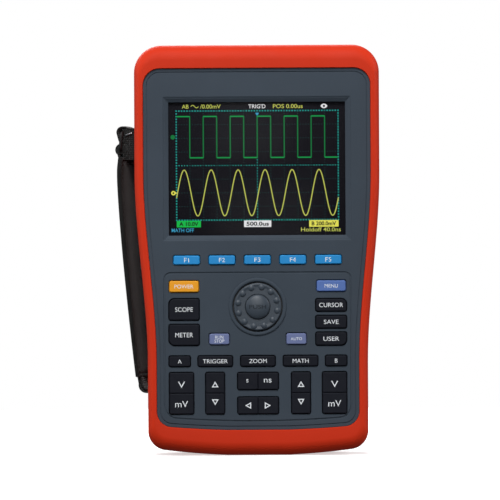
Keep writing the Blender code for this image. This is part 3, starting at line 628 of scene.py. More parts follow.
def leaned(shape, x, y=STRAP_Y):
    """Turns a part of the strap, or a slot for it, to the strap's lean and puts it in its place."""
    return moved(shape, (x, y, 0), -STRAP_LEAN, "Z")


def holster_skin():
    steps = 14
    rings = [flat(panel_outline(), LIP_BACK)]
    for extra, y in ((0.0, 1.0), (-0.12, 0.55), (-0.38, 0.2)):
        rings.append(flat(panel_outline(extra), FRONT + y))
    for i in range(steps + 1):
        angle = math.radians(90 * i / steps)
        y = FRONT + ROUND_DEPTH * (1 - math.cos(angle))
        rings.append(holster_ring(1 - math.sin(angle), FRONT_ROUND, y))
    for y in (-10.0, 0.0, 10.0):
        rings.append(holster_ring(0.0, FRONT_ROUND, y))
    for i in range(steps + 1):
        angle = math.radians(90 - 90 * i / steps)
        y = BACK - ROUND_DEPTH * (1 - math.cos(angle))
        rings.append(holster_ring(1 - math.sin(angle), BACK_ROUND, y))
    for extra, y in ((-0.5, BACK - 0.1), (-0.15, BACK - 0.4), (0.0, BACK - 0.9), (0.0, REAR_LIP)):
        rings.append(flat(rear_outline(extra), y))
    cavity = body_outline(3.0, 5.0, 5.0, 14.8, 9.3)
    return solid(rings + [flat(cavity, REAR_LIP), flat(cavity, LIP_BACK)], closed=True)


def make_holster():
    holster = finish_piece("holster_boot", holster_skin(), RUBBER, replaces=["holster"])
    block_low, block_high = node_box("terminal_block")
    middle = (block_low.y + block_high.y) / 2
    deep = (block_high.y - block_low.y) / 2 - 1.8
    wide = block_high.x - 1.8
    bay = []
    for z, grow in ((-12, 0.0), (-1.4, 0.0), (-0.6, 0.25), (0.6, 1.4)):
        bay.append(level(rounded(0, middle, 2 * (wide + grow), 2 * (deep + grow), 2.5 + grow), HEIGHT + z))
    cover_low, cover_high = node_box("port_cover")
    _, port_y, port_z = node_middle("port_cover")
    port = []
    for x, grow in ((-6, 0.0), (-0.8, 0.0), (0.8, 0.8)):
        depth, tall = (cover_high.y - cover_low.y + 0.7 + grow, cover_high.z - cover_low.z + 0.7 + grow)
        port.append(sideways(rounded(port_y, port_z, depth, tall, 1.2), HEAD_HALF + x))
    cutters = [solid(bay), solid(port)]
    head_top = node_box("strap_anchor_top")[1].z
    for name, z in (("strap_anchor_top", (head_top - 3.8, head_top + 0.4)), ("strap_anchor_foot", FOOT_SLOT)):
        slot = block((-7.0, 14.0), (-SLOT_HALF, SLOT_HALF), z, 0.4)
        cutters.append(leaned(slot, node_box(name)[1].x - 8))
    for i in range(GRIP_COUNT):
        z = GRIP_Z + GRIP_PITCH * i
        wide = 11.0 - 0.35 * abs(i - (GRIP_COUNT - 1) / 2)
        rings = []
        for x, grow in ((-0.7, -0.35), (-0.45, 0.0), (1.0, 0.3)):
            outline = rounded(0, z, 2 * (wide + grow), 1.9 + 2 * grow, 0.9 + grow, 5)
            rings.append(sideways(outline, half_width(z) + x))
        cutters.append(solid(rings))
    cut(holster, cutters)


# ---------------------------------------------------------------- front panel
PUSH_KEYS = {
    "key_power": ("POWER", 12.4, 2.5, KEY_ORANGE, None),
    "key_menu": ("MENU", 8.6, 2.3, KEY_INDIGO, None),
    "key_scope": ("SCOPE", 11.6, 2.9, KEY_BLACK, "top_left"),
    "key_meter": ("METER", 11.6, 2.9, KEY_BLACK, "bottom_left"),
    "key_cursor": ("CURSOR", 15.6, 2.8, KEY_BLACK, "top_right"),
    "key_save": ("SAVE", 9.6, 2.8, KEY_BLACK, None),
    "key_user": ("USER", 10.3, 2.8, KEY_BLACK, "bottom_right"),
    "key_run_stop": ("RUN\nSTOP", 6.4, 4.6, KEY_LILAC, None),
    "key_auto": ("AUTO", 7.3, 1.9, KEY_LILAC, None),
    "key_channel_a": ("A", None, 2.6, KEY_BLACK, None),
    "key_trigger": ("TRIGGER", 16.2, 2.7, KEY_BLACK, None),
    "key_zoom": ("ZOOM", 11.4, 2.7, KEY_BLACK, None),
    "key_math": ("MATH", 10.4, 2.7, KEY_BLACK, None),
    "key_channel_b": ("B", None, 2.6, KEY_BLACK, None),
}
for number in range(1, 6):
    PUSH_KEYS[f"key_f{number}"] = (f"F{number}", 3.2 if number == 1 else 3.9, 2.8, KEY_BLUE, None)
ROCKERS = (
    "rocker_volts_a", "rocker_position_a", "rocker_time",
    "rocker_shift", "rocker_position_b", "rocker_volts_b",
)
KEY_FLANGE = 1.1
KEY_GAP = 0.5
KEY_RADIUS = 1.2
SCREEN_Z = node_middle("display_lens")[2]
SCREEN_SIZE = (115.4, 87.0)
BEZEL_MARGIN = 3.45
DIAL_Z = node_middle("jog_dial")[2]
SUB_HALF = 60.6
SUB_TOP = 119.0


def cap_size(name):
    """The centre and size of a key's cap, without the flange behind the panel."""
    low, high = node_box(name)
    x, _, z = node_middle(name)
    return x, z, high.x - low.x - 2 * KEY_FLANGE, high.z - low.z - 2 * KEY_FLANGE


def key_hole(name, extra=0.0):
    x, z, width, height = cap_size(name)
    grow = 2 * (KEY_GAP + extra)
    big = PUSH_KEYS[name][4] if name in PUSH_KEYS else None
    return rounded(x, z, width + grow, height + grow, KEY_RADIUS + 0.4 + extra, 6, big, 3.9 + extra)


def sub_outline(extra):
    """The field round the keys: straight sides and a foot that follows the panel's."""
    half, top, foot, corner = SUB_HALF - extra, SUB_TOP - extra, 22.6 + extra, 8.0 - extra
    radius = PANEL_FOOT_RADIUS
    centre_x = half - corner
    reach = radius - corner
    centre_z = foot + radius - math.sqrt(reach**2 - centre_x**2)
    tangent = math.degrees(math.asin(centre_x / reach))
    right = arc((0, foot + radius), radius, -90, tangent - 90, 8)[1:]
    right += arc((centre_x, centre_z), corner, tangent - 90, 0, 10)[1:]
    right += arc((half - 4 + extra, top - 4 + extra), 4 - extra, 0, 90, 8)
    return right + [(-x, z) for x, z in reversed(right)]


def make_panel_face():
    """The panel's raised fields, with the groove between them as a plate behind."""
    face, groove, back = CASE_FRONT, CASE_FRONT + 0.55, LIP_BACK + 0.3
    screen_hole = rounded(
        0, SCREEN_Z, SCREEN_SIZE[0] + 2 * BEZEL_MARGIN, SCREEN_SIZE[1] + 2 * BEZEL_MARGIN, 0.7, 4
    )
    window = rounded(0, SCREEN_Z, SCREEN_SIZE[0] + 4.4, SCREEN_SIZE[1] + 4.4, 0.5, 3)
    function_keys = [f"key_f{i}" for i in range(1, 6)]
    all_keys = list(PUSH_KEYS) + list(ROCKERS)
    well, dial_seat = (arc((0, DIAL_Z), radius, 0, 360, 72)[:-1] for radius in (16.5, 18.8))
    upper_holes = [sub_outline(-0.7), screen_hole] + [key_hole(n) for n in function_keys]
    lower_holes = [key_hole(n) for n in all_keys if n not in function_keys] + [dial_seat]
    floor_holes = [key_hole(n, 0.1) for n in all_keys] + [well, window]
    shape = bmesh.new()
    add_plate(shape, panel_outline(0.1), [panel_outline(2.1)], face, face + 1.4, 0.2)
    add_plate(shape, panel_outline(2.6), upper_holes, face, face + 1.4, 0.22)
    add_plate(shape, sub_outline(0.25), lower_holes, face, face + 1.4, 0.28)
    add_plate(shape, panel_outline(0.15), floor_holes, groove, back, 0.05, 1)
    add_plate(shape, case_outline(), floor_holes, back, LIP_BACK + 2.1, 0.2, 1)
    even_shading(finish_piece("front_panel", shape, PANEL, replaces=["front_case"]))


def make_front_panel():
    make_panel_face()
    face = CASE_FRONT
    wall = []
    for extra, y in ((0.0, LIP_BACK + 2.1), (0.0, -0.15), (2.5, -0.15), (2.5, LIP_BACK + 2.1)):
        wall.append(flat(case_outline(extra), y))
    finish_piece("front_case_wall", solid(wall, closed=True), PANEL)

    reveal = []
    wide, tall = SCREEN_SIZE
    inner_y = node_box("display_lens")[0].y - 0.1
    for y, grow, radius in (
        (face + 0.02, BEZEL_MARGIN, 0.5),
        (face + 0.16, BEZEL_MARGIN - 0.25, 0.4),
        (inner_y - 0.2, 0.25, 0.3),
        (inner_y, 0.0, 0.3),
        (inner_y + 0.1, 0.0, 0.3),
        (inner_y + 0.1, BEZEL_MARGIN - 1.4, 0.5),
        (face + 1.2, BEZEL_MARGIN, 0.5),
    ):
        reveal.append(flat(rounded(0, SCREEN_Z, wide + 2 * grow, tall + 2 * grow, radius, 3), y))
    finish_piece("screen_bezel", solid(reveal, closed=True), PANEL, angle=25)

    collar = [(16.3, -2.2), (18.9, -2.2), (18.9, -0.02)]
    for i in range(1, 16):
        turn = math.pi * i / 16
        collar.append((17.6 + 1.3 * math.cos(turn), 0.95 * math.sin(turn) ** 0.8))
    collar += [(16.3, -0.1)]
    finish_piece("dial_collar", turned(collar, (0, face, DIAL_Z), "-Y", 96), PANEL)
    seat = [(5.3, -2.6), (16.5, -2.6), (16.5, -2.4), (5.3, -2.4)]
    finish_piece("dial_well_floor", turned(seat, (0, face, DIAL_Z), "-Y", 72), BLACK_PLASTIC)


# ----------------------------------------------------------------------- keys
def cap_rings(x, z, width, height, face, back, edge, radius, big=None, steps=6, sharpest=0.12):
    """A key cap's outlines from its back to its face, whose rim is rounded by edge."""
    rings = []
    big_radius = 3.6
    levels = [(back, 0.0), (face + edge, 0.0)]
    levels += [(face + edge * (1 - math.sin(a)), -edge * (1 - math.cos(a))) for a in quarter(5, 1)]
    for y, grow in levels:
        corner = max(sharpest, radius + grow)
        outline = rounded(x, z, width + 2 * grow, height + 2 * grow, corner, steps, big, big_radius + grow)
        rings.append(flat(outline, y))
    return rings


def add_flange(shape, name, front, back):
    x, z, width, height = cap_size(name)
    outline = rounded(x, z, width + 2 * KEY_FLANGE, height + 2 * KEY_FLANGE, KEY_RADIUS + KEY_FLANGE)
    add_rings(shape, [flat(outline, front), flat(outline, back)])


def make_push_keys():
    for name, (text, text_width, text_height, look, big) in PUSH_KEYS.items():
        low, high = node_box(name)
        x, z, width, height = cap_size(name)
        shape = solid(cap_rings(x, z, width, height, low.y, high.y - 1.0, 0.75, KEY_RADIUS, big))
        add_flange(shape, name, high.y - 1.0, high.y)
        even_shading(finish_piece(f"{name}_cap", shape, look, body=name, replaces=[name]))
        ink = bmesh.new()
        add_letters(ink, text, x, z, text_height, low.y, text_width)
        finish_piece(f"{name}_legend", ink, PRINT_WHITE, body=name)


def triangle(ink, x, z, size, turn, y):
    """A hollow triangle that points up when turn is 0."""
    angles = [math.radians(90 + 120 * i) for i in range(3)]
    corners = [(size * math.cos(a), size * math.sin(a)) for a in angles]
    c, s = math.cos(math.radians(turn)), math.sin(math.radians(turn))
    outer, inner = (
        [(x + k * a * c - k * b * s, z + k * a * s + k * b * c) for a, b in corners] for k in (1.0, 0.5)
    )
    rings = [flat(outer, y - 0.04), flat(inner, y - 0.04), flat(inner, y), flat(outer, y)]
    add_rings(ink, rings, closed=True)


def make_rockers():
    for name in ROCKERS:
        low, high = node_box(name)
        x, z, width, height = cap_size(name)
        upright = height > width
        shape = bmesh.new()
        for side in (-1, 1):
            if upright:
                centre, size = (x, z + side * height / 4), (width, height / 2 - 0.12)
            else:
                centre, size = (x + side * width / 4, z), (width / 2 - 0.12, height)
            rim = {"edge": 0.7, "radius": 0.75, "steps": 5, "sharpest": 0.15}
            add_rings(shape, cap_rings(*centre, *size, low.y, high.y - 1.5, **rim))
        outline = rounded(x, z, width, height, KEY_RADIUS)
        add_rings(shape, [flat(outline, low.y + 1.1), flat(outline, high.y - 0.8)])
        add_flange(shape, name, high.y - 0.8, high.y)
        even_shading(finish_piece(f"{name}_cap", shape, KEY_BLACK, body=name, replaces=[name]))
        ink = bmesh.new()
        if "volts" in name:
            add_letters(ink, "V", x, z + 5.7, 4.1, low.y, 4.6)
            add_letters(ink, "mV", x, z - 6.9, 4.1, low.y, 8.4)
        if "position" in name:
            triangle(ink, x, z + 5.2, 2.6, 0, low.y)
            triangle(ink, x, z - 5.2, 2.6, 180, low.y)
        if "time" in name:
            add_letters(ink, "s", x - 7.0, z + 0.3, 2.2, low.y)
            add_letters(ink, "ns", x + 6.3, z + 0.3, 2.4, low.y, 5.0)
        if "shift" in name:
            triangle(ink, x - 5.9, z, 2.6, 90, low.y)
            triangle(ink, x + 5.6, z, 2.6, -90, low.y)
        finish_piece(f"{name}_legend", ink, PRINT_WHITE, body=name)


# ----------------------------------------------------------------------- dial
BUMPS = 12
BUMP_CIRCLE = 13.0
BUMP_TURN = 18.5
DISH = 0.35  # how far the ring's face sinks between its rim and the push cap


def make_dial():
    low, high = node_box("jog_dial")
    radius = (high.x - low.x) / 2
    face, back = 28.4, -high.y
    inner, outer = 8.4, radius - 0.9
    profile = [(8.35, face - DISH - 0.4)]
    for i in range(13):
        share = i / 12
        profile.append((inner + (outer - inner) * share, face - DISH * (1 - smooth((share - 0.72) / 0.28))))
    profile += [(outer + 0.9 * math.sin(a), face - 0.9 * (1 - math.cos(a))) for a in quarter(6, 1)]
    profile += [(radius, back), (3.4, back), (3.4, back + 1.2), (8.35, back + 1.2)]
    shape = turned(profile, (0, 0, DIAL_Z), "-Y", 96)
    for i in range(BUMPS):
        angle = math.radians(BUMP_TURN + 360 * i / BUMPS)
        spot = (BUMP_CIRCLE * math.cos(angle), -(face - DISH - 0.1), DIAL_Z + BUMP_CIRCLE * math.sin(angle))
        add_ball(shape, spot, 2.15, 0.5, 28)
    finish_piece("dial_ring", shape, DIAL_PLASTIC, body="dial", replaces=["jog_dial"])


def make_push_cap():
    cap_low, cap_high = node_box("jog_push_cap")
    apex = -cap_low.y
    height = 2.7
    wide = (cap_high.x - cap_low.x) / 2
    profile = [(0, apex)]
    profile += [(wide * math.sin(a), apex - height * (1 - math.cos(a))) for a in quarter(18, 1, 17)]
    back = -cap_high.y
    profile += [(wide, apex - height), (wide, apex - 4.1), (2.8, apex - 4.1), (2.8, back), (0, back)]
    shape = turned(profile, (0, 0, DIAL_Z), "-Y", 72)
    finish_piece("dial_cap", shape, DIAL_PLASTIC, body="dial_push", replaces=["jog_push_cap"])

    def dome(x, z):
        share = min(1.0, (x * x + (z - DIAL_Z) ** 2) / wide**2)
        return height * (1 - math.sqrt(1 - share)) - apex

    ink = bmesh.new()
    add_letters(ink, "PUSH", 0, DIAL_Z, 2.6, 0.03, 11.0, bold=0.1, depth=0.08, warp=dome)
    finish_piece("dial_cap_legend", ink, PRINT_FAINT, body="dial_push")


# -------------------------------------------------------------------- display
GRID_WIDTH = 105.7
GRID_HEIGHT = 71.3
GRID_X = 0.3
GRID_Z = 189.3
GRID_LEFT, GRID_RIGHT = GRID_X - GRID_WIDTH / 2, GRID_X + GRID_WIDTH / 2
GRID_FOOT, GRID_TOP = GRID_Z - GRID_HEIGHT / 2, GRID_Z + GRID_HEIGHT / 2
DIVISION_X, DIVISION_Z = GRID_WIDTH / 12, GRID_HEIGHT / 8
PICTURE_Y = node_box("display_module")[0].y - 0.02
READOUT_ROW = GRID_TOP + 2.9


def square(x, z, size):
    """A square's corners at size to each side of its middle."""
    return [(x - size, z - size), (x + size, z - size), (x + size, z + size), (x - size, z + size)]


def make_screen():
    for name, node, look, bevel in (
        ("window", "display_lens", GLASS, 0.2), ("display_panel", "display_module", SCREEN, 0.4)
    ):
        finish_piece(name, block(*zip(*node_box(node)), bevel), look, replaces=[node])


def make_grid():
    """The dotted border, middle lines and divisions of the display's picture."""
    border, grid = bmesh.new(), bmesh.new()

    def dot(shape, x, z, size):
        add_rings(shape, [flat(square(x, z, size), y) for y in (PICTURE_Y, PICTURE_Y - 0.03)])

    for i in range(61):
        x = GRID_LEFT + GRID_WIDTH * i / 60
        for z in (GRID_FOOT, GRID_TOP):
            dot(border, x, z, 0.45)
        dot(border, x, GRID_Z, 0.34)
        for row in (1, 2, 3, 5, 6, 7):
            dot(grid, x, GRID_FOOT + DIVISION_Z * row, 0.3)
    for i in range(41):
        z = GRID_FOOT + GRID_HEIGHT * i / 40
        for x in (GRID_LEFT, GRID_RIGHT):
            dot(border, x, z, 0.45)
        dot(border, GRID_X, z, 0.34)
        for column in (1, 2, 3, 4, 5, 7, 8, 9, 10, 11):
            dot(grid, GRID_LEFT + DIVISION_X * column, z, 0.3)
    finish_piece("display_border", border, GLOW_TEAL)
    finish_piece("display_grid", grid, GLOW_GRID)


def make_traces():
    high, low = GRID_TOP - 3.6, GRID_Z + 5.1
    flats, edges, wave = bmesh.new(), bmesh.new(), bmesh.new()
    for period in range(6):
        start = GRID_LEFT + 2 * DIVISION_X * period
        fall, end = start + DIVISION_X, start + 2 * DIVISION_X
        add_ribbon(flats, [(start, high), (fall, high)], 0.85, PICTURE_Y - 0.04)
        add_ribbon(flats, [(fall, low), (end, low)], 0.85, PICTURE_Y - 0.04)
        add_ribbon(edges, [(fall, high), (fall, low)], 0.72, PICTURE_Y - 0.035)
        if period:
            add_ribbon(edges, [(start, high), (start, low)], 0.72, PICTURE_Y - 0.035)
    finish_piece("trace_a_levels", flats, GLOW_GREEN)
    finish_piece("trace_a_edges", edges, GLOW_DEEP)
    points = []
    for i in range(289):
        share = i / 288
        phase = 2 * math.pi * (6 * share - 0.035)
        points.append((GRID_LEFT + GRID_WIDTH * share, 171.4 + 15.0 * math.sin(phase)))
    add_ribbon(wave, points, 0.68, PICTURE_Y - 0.08)
    finish_piece("trace_b", wave, GLOW_YELLOW)


def make_readouts():
    def readout(name, look, words, shape=None, bold=0.1):
        ink = shape or bmesh.new()
        for text, x, z, tall, wide in words:
            add_letters(ink, text, x, z, tall, PICTURE_Y - 0.12, wide, bold=bold)
        finish_piece(name, ink, look)

    row, foot = READOUT_ROW, GRID_FOOT
    mark = bmesh.new()
    sine = [(-43 + 5 * i / 12, row + 0.9 * math.sin(2 * math.pi * i / 12)) for i in range(13)]
    add_ribbon(mark, sine, 0.45, PICTURE_Y - 0.12)
    trigger = [("AB", -46.6, row, 2.6, 4.4), ("/0.00mV", -30.2, row, 2.7, 13.4)]
    trigger.append(("POS 0.00us", 20.4, row, 2.7, 19.5))
    readout("readout_trigger", GLOW_YELLOW, trigger, mark)
    readout("readout_state", GLOW_WHITE, [("TRIG'D", 0.2, row, 2.7, 11.2)])
    readout("readout_math", GLOW_SKY, [("MATH OFF", -48.6, foot - 6.6, 2.5, 14.6)])
    readout("readout_hold", GLOW_YELLOW, [("Holdoff 40.0ns", 41.6, foot - 6.4, 2.7, 26.0)])
    z = foot - 2.5
    for name, look, x, width, text, wide in (
        ("label_a", GLOW_LABEL, GRID_LEFT + 7.9, 15.8, "A 10.0V", 12.6),
        ("label_time", GLOW_WHITE, GRID_X, 17.8, "500.0us", 14.6),
        ("label_b", GLOW_BRIGHT, GRID_RIGHT - 9.6, 19.2, "B 200.0mV", 16.0),
    ):
        finish_piece(name, prism(x, z, width, 4.3, 0.3, ((PICTURE_Y, 0), (PICTURE_Y - 0.05, 0)), 3), look)
        readout(f"{name}_text", GLOW_INK, [(text, x, z, 2.7, wide)], bold=0.3)


def disc(inner, outer, thick, place, steps):
    """A flat disc, or a washer when inner isn't 0."""
    return turned([(inner, 0.0), (outer, 0.0), (outer, thick), (inner, thick)], place, "-Y", steps)


def make_markers():
    y, left = PICTURE_Y, GRID_LEFT
    finish_piece("marker_a", disc(0, 1.5, 0.06, (left - 2.3, y, GRID_Z + 18.6), 24), GLOW_DEEP)
    marker = disc(0.6, 1.45, 0.06, (left - 2.1, y, GRID_Z - 17.9), 24)
    tip = [(left - 0.9, GRID_Z - 17.1), (left - 0.9, GRID_Z - 18.7), (left + 0.3, GRID_Z - 17.9)]
    add_rings(marker, [flat(tip, d) for d in (y, y - 0.06)])
    finish_piece("marker_b", marker, GLOW_BRIGHT)
    arrow = [(-1.0, 1.3), (1.0, 1.3), (1.0, 2.0), (0.0, 3.2), (-1.0, 2.0)]
    arrow = [(GRID_X + x, GRID_TOP - down) for x, down in arrow]
    finish_piece("marker_trigger", slab(arrow, y - 0.1, y - 0.16), GLOW_SKY)
    eye = []
    for i in range(28):
        angle = 2 * math.pi * i / 28
        lid = 1.5 * math.sin(angle) * abs(math.sin(angle)) ** 0.4
        eye.append((44.0 + 2.2 * math.cos(angle), READOUT_ROW + lid))
    finish_piece("icon_view", slab(eye, y, y - 0.06), GLOW_WHITE)
    finish_piece("icon_view_pupil", disc(0, 0.75, 0.04, (44.0, y - 0.07, READOUT_ROW), 16), GLOW_INK)


# ------------------------------------------------------------------ rear side
STAND_LOW, STAND_HIGH = node_box("stand")
DOOR_LOW, DOOR_HIGH = node_box("battery_door")
STAND_FLOOR = STAND_LOW.y - 0.3
SCREWS = ("case_screw_top_left", "case_screw_top_right", "case_screw_foot_left", "case_screw_foot_right")
BATTERY_WAY = (0, 84, 83, 49)  # centre X and Z, width and height
SCREW_BORE = (  # radius and place along the depth
    (0, -15), (1.8, -15), (1.8, -24), (3.3, -24), (3.3, -26.7), (3.9, -27.3), (3.9, -31), (0, -31)
)
VENT_ROWS = 5
VENT_Z = 166.0
VENT_PITCH = 5.2


def make_rear_case():
    rings = [flat(case_outline(), 0.15), flat(case_outline(), REAR_LIP - 0.3)]
    rings.append(flat(rear_outline(0.3), REAR_LIP - 0.3))
    for extra, depth in ((0.3, 0.8), (0.4, 0.35), (0.65, 0.1), (1.1, 0.0), (2.5, 0.0)):
        rings.append(flat(rear_outline(extra), CASE_BACK - depth))
    case = finish_piece("rear_shell", solid(rings), PANEL, replaces=["rear_case"])
    inner = slab(case_outline(2.5), -5, 20.4)
    middle_z = (STAND_LOW.z + STAND_HIGH.z) / 2 + 0.05
    tall = STAND_HIGH.z - STAND_LOW.z + 0.9
    recess = prism(0, middle_z, 2 * (STAND_HIGH.x + 0.4), tall, 2.0, ((STAND_FLOOR, 0), (40, 0)))
    levels = ((STAND_FLOOR + 1.0, -1.2), (STAND_FLOOR + 1.6, -0.3))
    levels += ((CASE_BACK - 0.5, 0.0), (CASE_BACK + 1, 0.8))
    notch = prism(0, STAND_LOW.z - 2.0, 22, 10, 4.0, levels)
    door_size = (DOOR_HIGH.x * 2 + 0.8, DOOR_HIGH.z - DOOR_LOW.z + 0.8)
    step = prism(0, (DOOR_LOW.z + DOOR_HIGH.z) / 2, *door_size, 3, ((21.7, 0), (24, 0)))
    way = prism(*BATTERY_WAY, 2, ((15, 0), (24, 0)))
    low, high = node_box("terminal_block")
    bay = block((low.x - 0.3, high.x + 0.3), (low.y - 0.3, high.y + 0.3), (245, 275))
    port = block((71, 82), (4, 20), (204, 238))
    cutters = [inner, recess, notch, step, way, bay, port]
    for x, z in ((-76.0, HEAD_SLOT), (-68.0, FOOT_SLOT)):
        cutters.append(leaned(block((-10, 10), (-SLOT_HALF, SLOT_HALF), z), x, STRAP_Y - 2.0))
    for name in SCREWS:
        x, _, z = node_middle(name)
        cutters.append(turned(SCREW_BORE, (x, 0, z), "-Y", 32))
    vent = ((CASE_BACK - 1.1, -0.3), (CASE_BACK - 0.4, 0.0), (CASE_BACK + 1, 0.5))
    for i in range(VENT_ROWS):
        for side in (-1, 1):
            cutters.append(prism(side * 33.0, VENT_Z + VENT_PITCH * i, 34, 1.9, 0.9, vent, 5))
    cutters.append(prism(0, 212.0, 92, 26, 2.5, ((CASE_BACK - 0.5, -0.15), (CASE_BACK + 1, 0.0))))
    cut(case, cutters)
    even_shading(case)


def screw_head(name):
    """A pan-head screw with a cross recess, seen from the back."""
    low, high = node_box(name)
    x, _, z = node_middle(name)
    radius = (high.x - low.x) / 2
    top = -high.y
    thick = 2.0 if radius > 2.7 else 0.8
    dome = [(radius * math.sin(a), top + 0.7 * (1 - math.cos(a))) for a in quarter(6)]
    dome = [(0, top)] + dome[1:] + [(radius, top + thick), (1.4, top + thick), (1.4, -low.y), (0, -low.y)]
    shape = turned(list(reversed(dome)), (x, 0, z), "-Y", 28)
    piece = finish_piece(f"{name}_detail", shape, STEEL, replaces=[name])
    cutters = []
    for turn in (20, 110):
        cross = block((-radius * 0.62, radius * 0.62), (high.y - 0.9, high.y + 1), (-0.38, 0.38))
        cutters.append(moved(cross, (x, 0, z), math.radians(turn), "Y"))
    cut(piece, cutters)


def make_battery_door():
    low, high = DOOR_LOW, DOOR_HIGH
    back = high.y
    middle_z = (low.z + high.z) / 2
    width, height = high.x - low.x, high.z - low.z
    rings = [flat(rounded(0, 84, 82.2, 48.2, 1.6), y) for y in (low.y, back - 1.0)]
    rings += [flat(rounded(0, middle_z, width, height, 2.6), y) for y in (back - 1.0, back - 0.3)]
    rings.append(flat(rounded(0, middle_z, width - 0.6, height - 0.6, 2.3), back))
    door = finish_piece("battery_lid", solid(rings), PANEL, replaces=["battery_door"])
    cutters = [prism(0, 66 + 3.2 * i, 36, 1.4, 0.65, ((back - 0.5, 0), (back + 1, 0)), 4) for i in range(6)]
    sink = [(0, 4), (1.8, 4), (1.8, 1.0), (3.0, 0.0), (3.0, -1.0), (0, -1.0)]
    cutters.append(turned(sink, (0, back, node_middle("battery_door_screw")[2]), "-Y", 32))
    cut(door, cutters)
    even_shading(door)


def make_stand():
    low, high = STAND_LOW, STAND_HIGH
    barrel = (high.y - low.y) / 2
    hinge_y, hinge_z = (low.y + high.y) / 2, high.z - barrel
    half = high.x
    section = [(high.y, low.z + 1.2), (high.y, hinge_z)] + arc((hinge_y, hinge_z), barrel, 0, 180, 16)[1:-1]
    section += [(low.y, hinge_z), (low.y, low.z + 1.2)]
    section += [(low.y + 0.35, low.z + 0.35), (low.y + 1.2, low.z)]
    section += [(high.y - 1.2, low.z), (high.y - 0.35, low.z + 0.35)]
    rings = []
    for side in (-1, 1):
        for inwards, grow in ((0.0, 0.4), (0.12, 0.12), (0.4, 0.0))[::-side]:
            ring = []
            for y, z in section:
                shrunk_z = min(z, hinge_z + barrel - grow) if z > low.z + 2 else z + grow
                ring.append((hinge_y + (y - hinge_y) * (1 - grow / barrel), shrunk_z))
            rings.append(sideways(ring, side * (half - inwards)))
    stand = finish_piece("stand_plate", solid(rings), PANEL, body="stand", replaces=["stand"])
    pocket_z = (low.z + 10 + high.z - 13.8) / 2
    tall = high.z - 13.8 - low.z - 10
    pocket = ((high.y - 1.1, -0.5), (high.y - 0.8, 0.0), (high.y + 2, 0.8))
    pocket = prism(0, pocket_z, 2 * half - 12, tall, 4, pocket)
    bore = turned([(0, 60), (1.3, 60), (1.3, -60), (0, -60)], (0, hinge_y, hinge_z), "X", 24)
    cut(stand, [pocket, bore])
    even_shading(stand)
    ribs = bmesh.new()
    foot = pocket_z - tall / 2
    long_rib = ((high.y - 1.2, high.y - 0.25), (foot + 3, pocket_z + tall / 2 - 3))
    for x in (-26.0, 0.0, 26.0):
        add_block(ribs, (x - 0.8, x + 0.8), *long_rib, 0.25)
    for i in range(6):
        z = foot + 2.2 + i * 1.9
        add_block(ribs, (-10, 10), (high.y - 1.2, high.y - 0.35), (z, z + 0.9), 0.2)
    finish_piece("stand_ribs", ribs, PANEL, body="stand")


# ------------------------------------------------------------------- terminals
BAY_LEGEND_Y = -2.4
COAX_INPUTS = ("coax_input_a", "coax_input_b")
JACKS = ("jack_volts", "jack_common", "jack_current")
KNURL_TEETH = 36
# turned profiles as (radius, height) points
COAX_SHELL = (
    (4.0, -8), (4.0, 0), (7.2, 0), (7.2, 2.0), (6.8, 2.4), (5.3, 2.5), (5.3, 3.4), (4.8, 3.8), (4.8, 12.6),
    (4.65, 13.6), (4.5, 14.0), (4.2, 14.0), (4.1, 13.7), (4.1, 5.5), (3.0, 5.5), (3.0, -8),
)
COAX_LUG = ((0, 6.1), (1.0, 6.1), (1.1, 5.9), (1.1, 4.4), (0, 4.4))
COAX_INSULATOR = (
    (3.0, -6), (3.0, 5.2), (2.3, 5.5), (2.3, 11.6), (2.1, 12.0), (0.9, 12.0), (0.9, 4.0), (0.9, -6)
)
COAX_PIN = ((0, -6), (0.75, -6), (0.75, 11.2), (0.6, 11.5), (0.35, 11.5), (0.35, 8.0), (0, 8.0))
JACK_SHROUD = (
    (3.6, -8), (3.6, 0), (6.8, 0), (6.8, 9.8), (6.55, 10.6), (6.1, 11.0), (5.8, 11.0), (5.45, 10.6),
    (5.4, 10.2), (5.4, 1.6), (3.25, 1.6), (3.25, 9.1), (3.0, 9.5), (2.6, 9.5), (2.4, 9.2), (2.4, -8),
)
JACK_CONTACT = ((2.4, -6), (2.4, 8.6), (2.2, 8.8), (2.05, 8.6), (2.05, 4.0), (0, 4.0), (0, -6))


def make_coax_input(name, place):
    """A coaxial input: shell with two locking lugs and a knurled foot, insulator and centre contact."""
    shell = turned(COAX_SHELL, place, "Z", 48)
    x, y, z = place
    for side in (-1, 1):
        lug = COAX_LUG if side > 0 else [(r, -h) for r, h in reversed(COAX_LUG)]
        add_turned(shell, lug, (x, y, z + 9.6), "X", 20)
    for i in range(KNURL_TEETH):
        tooth = block((6.9, 7.2), (-0.22, 0.22), (0.35, 1.9), 0.08, 1)
        merge(shell, moved(tooth, place, 2 * math.pi * i / KNURL_TEETH, "Z"))
    finish_piece(f"{name}_shell", shell, NICKEL, replaces=[name])
    finish_piece(f"{name}_insulator", turned(COAX_INSULATOR, place, "Z", 32), IVORY)
    finish_piece(f"{name}_pin", turned(COAX_PIN, place, "Z", 20), GOLD)


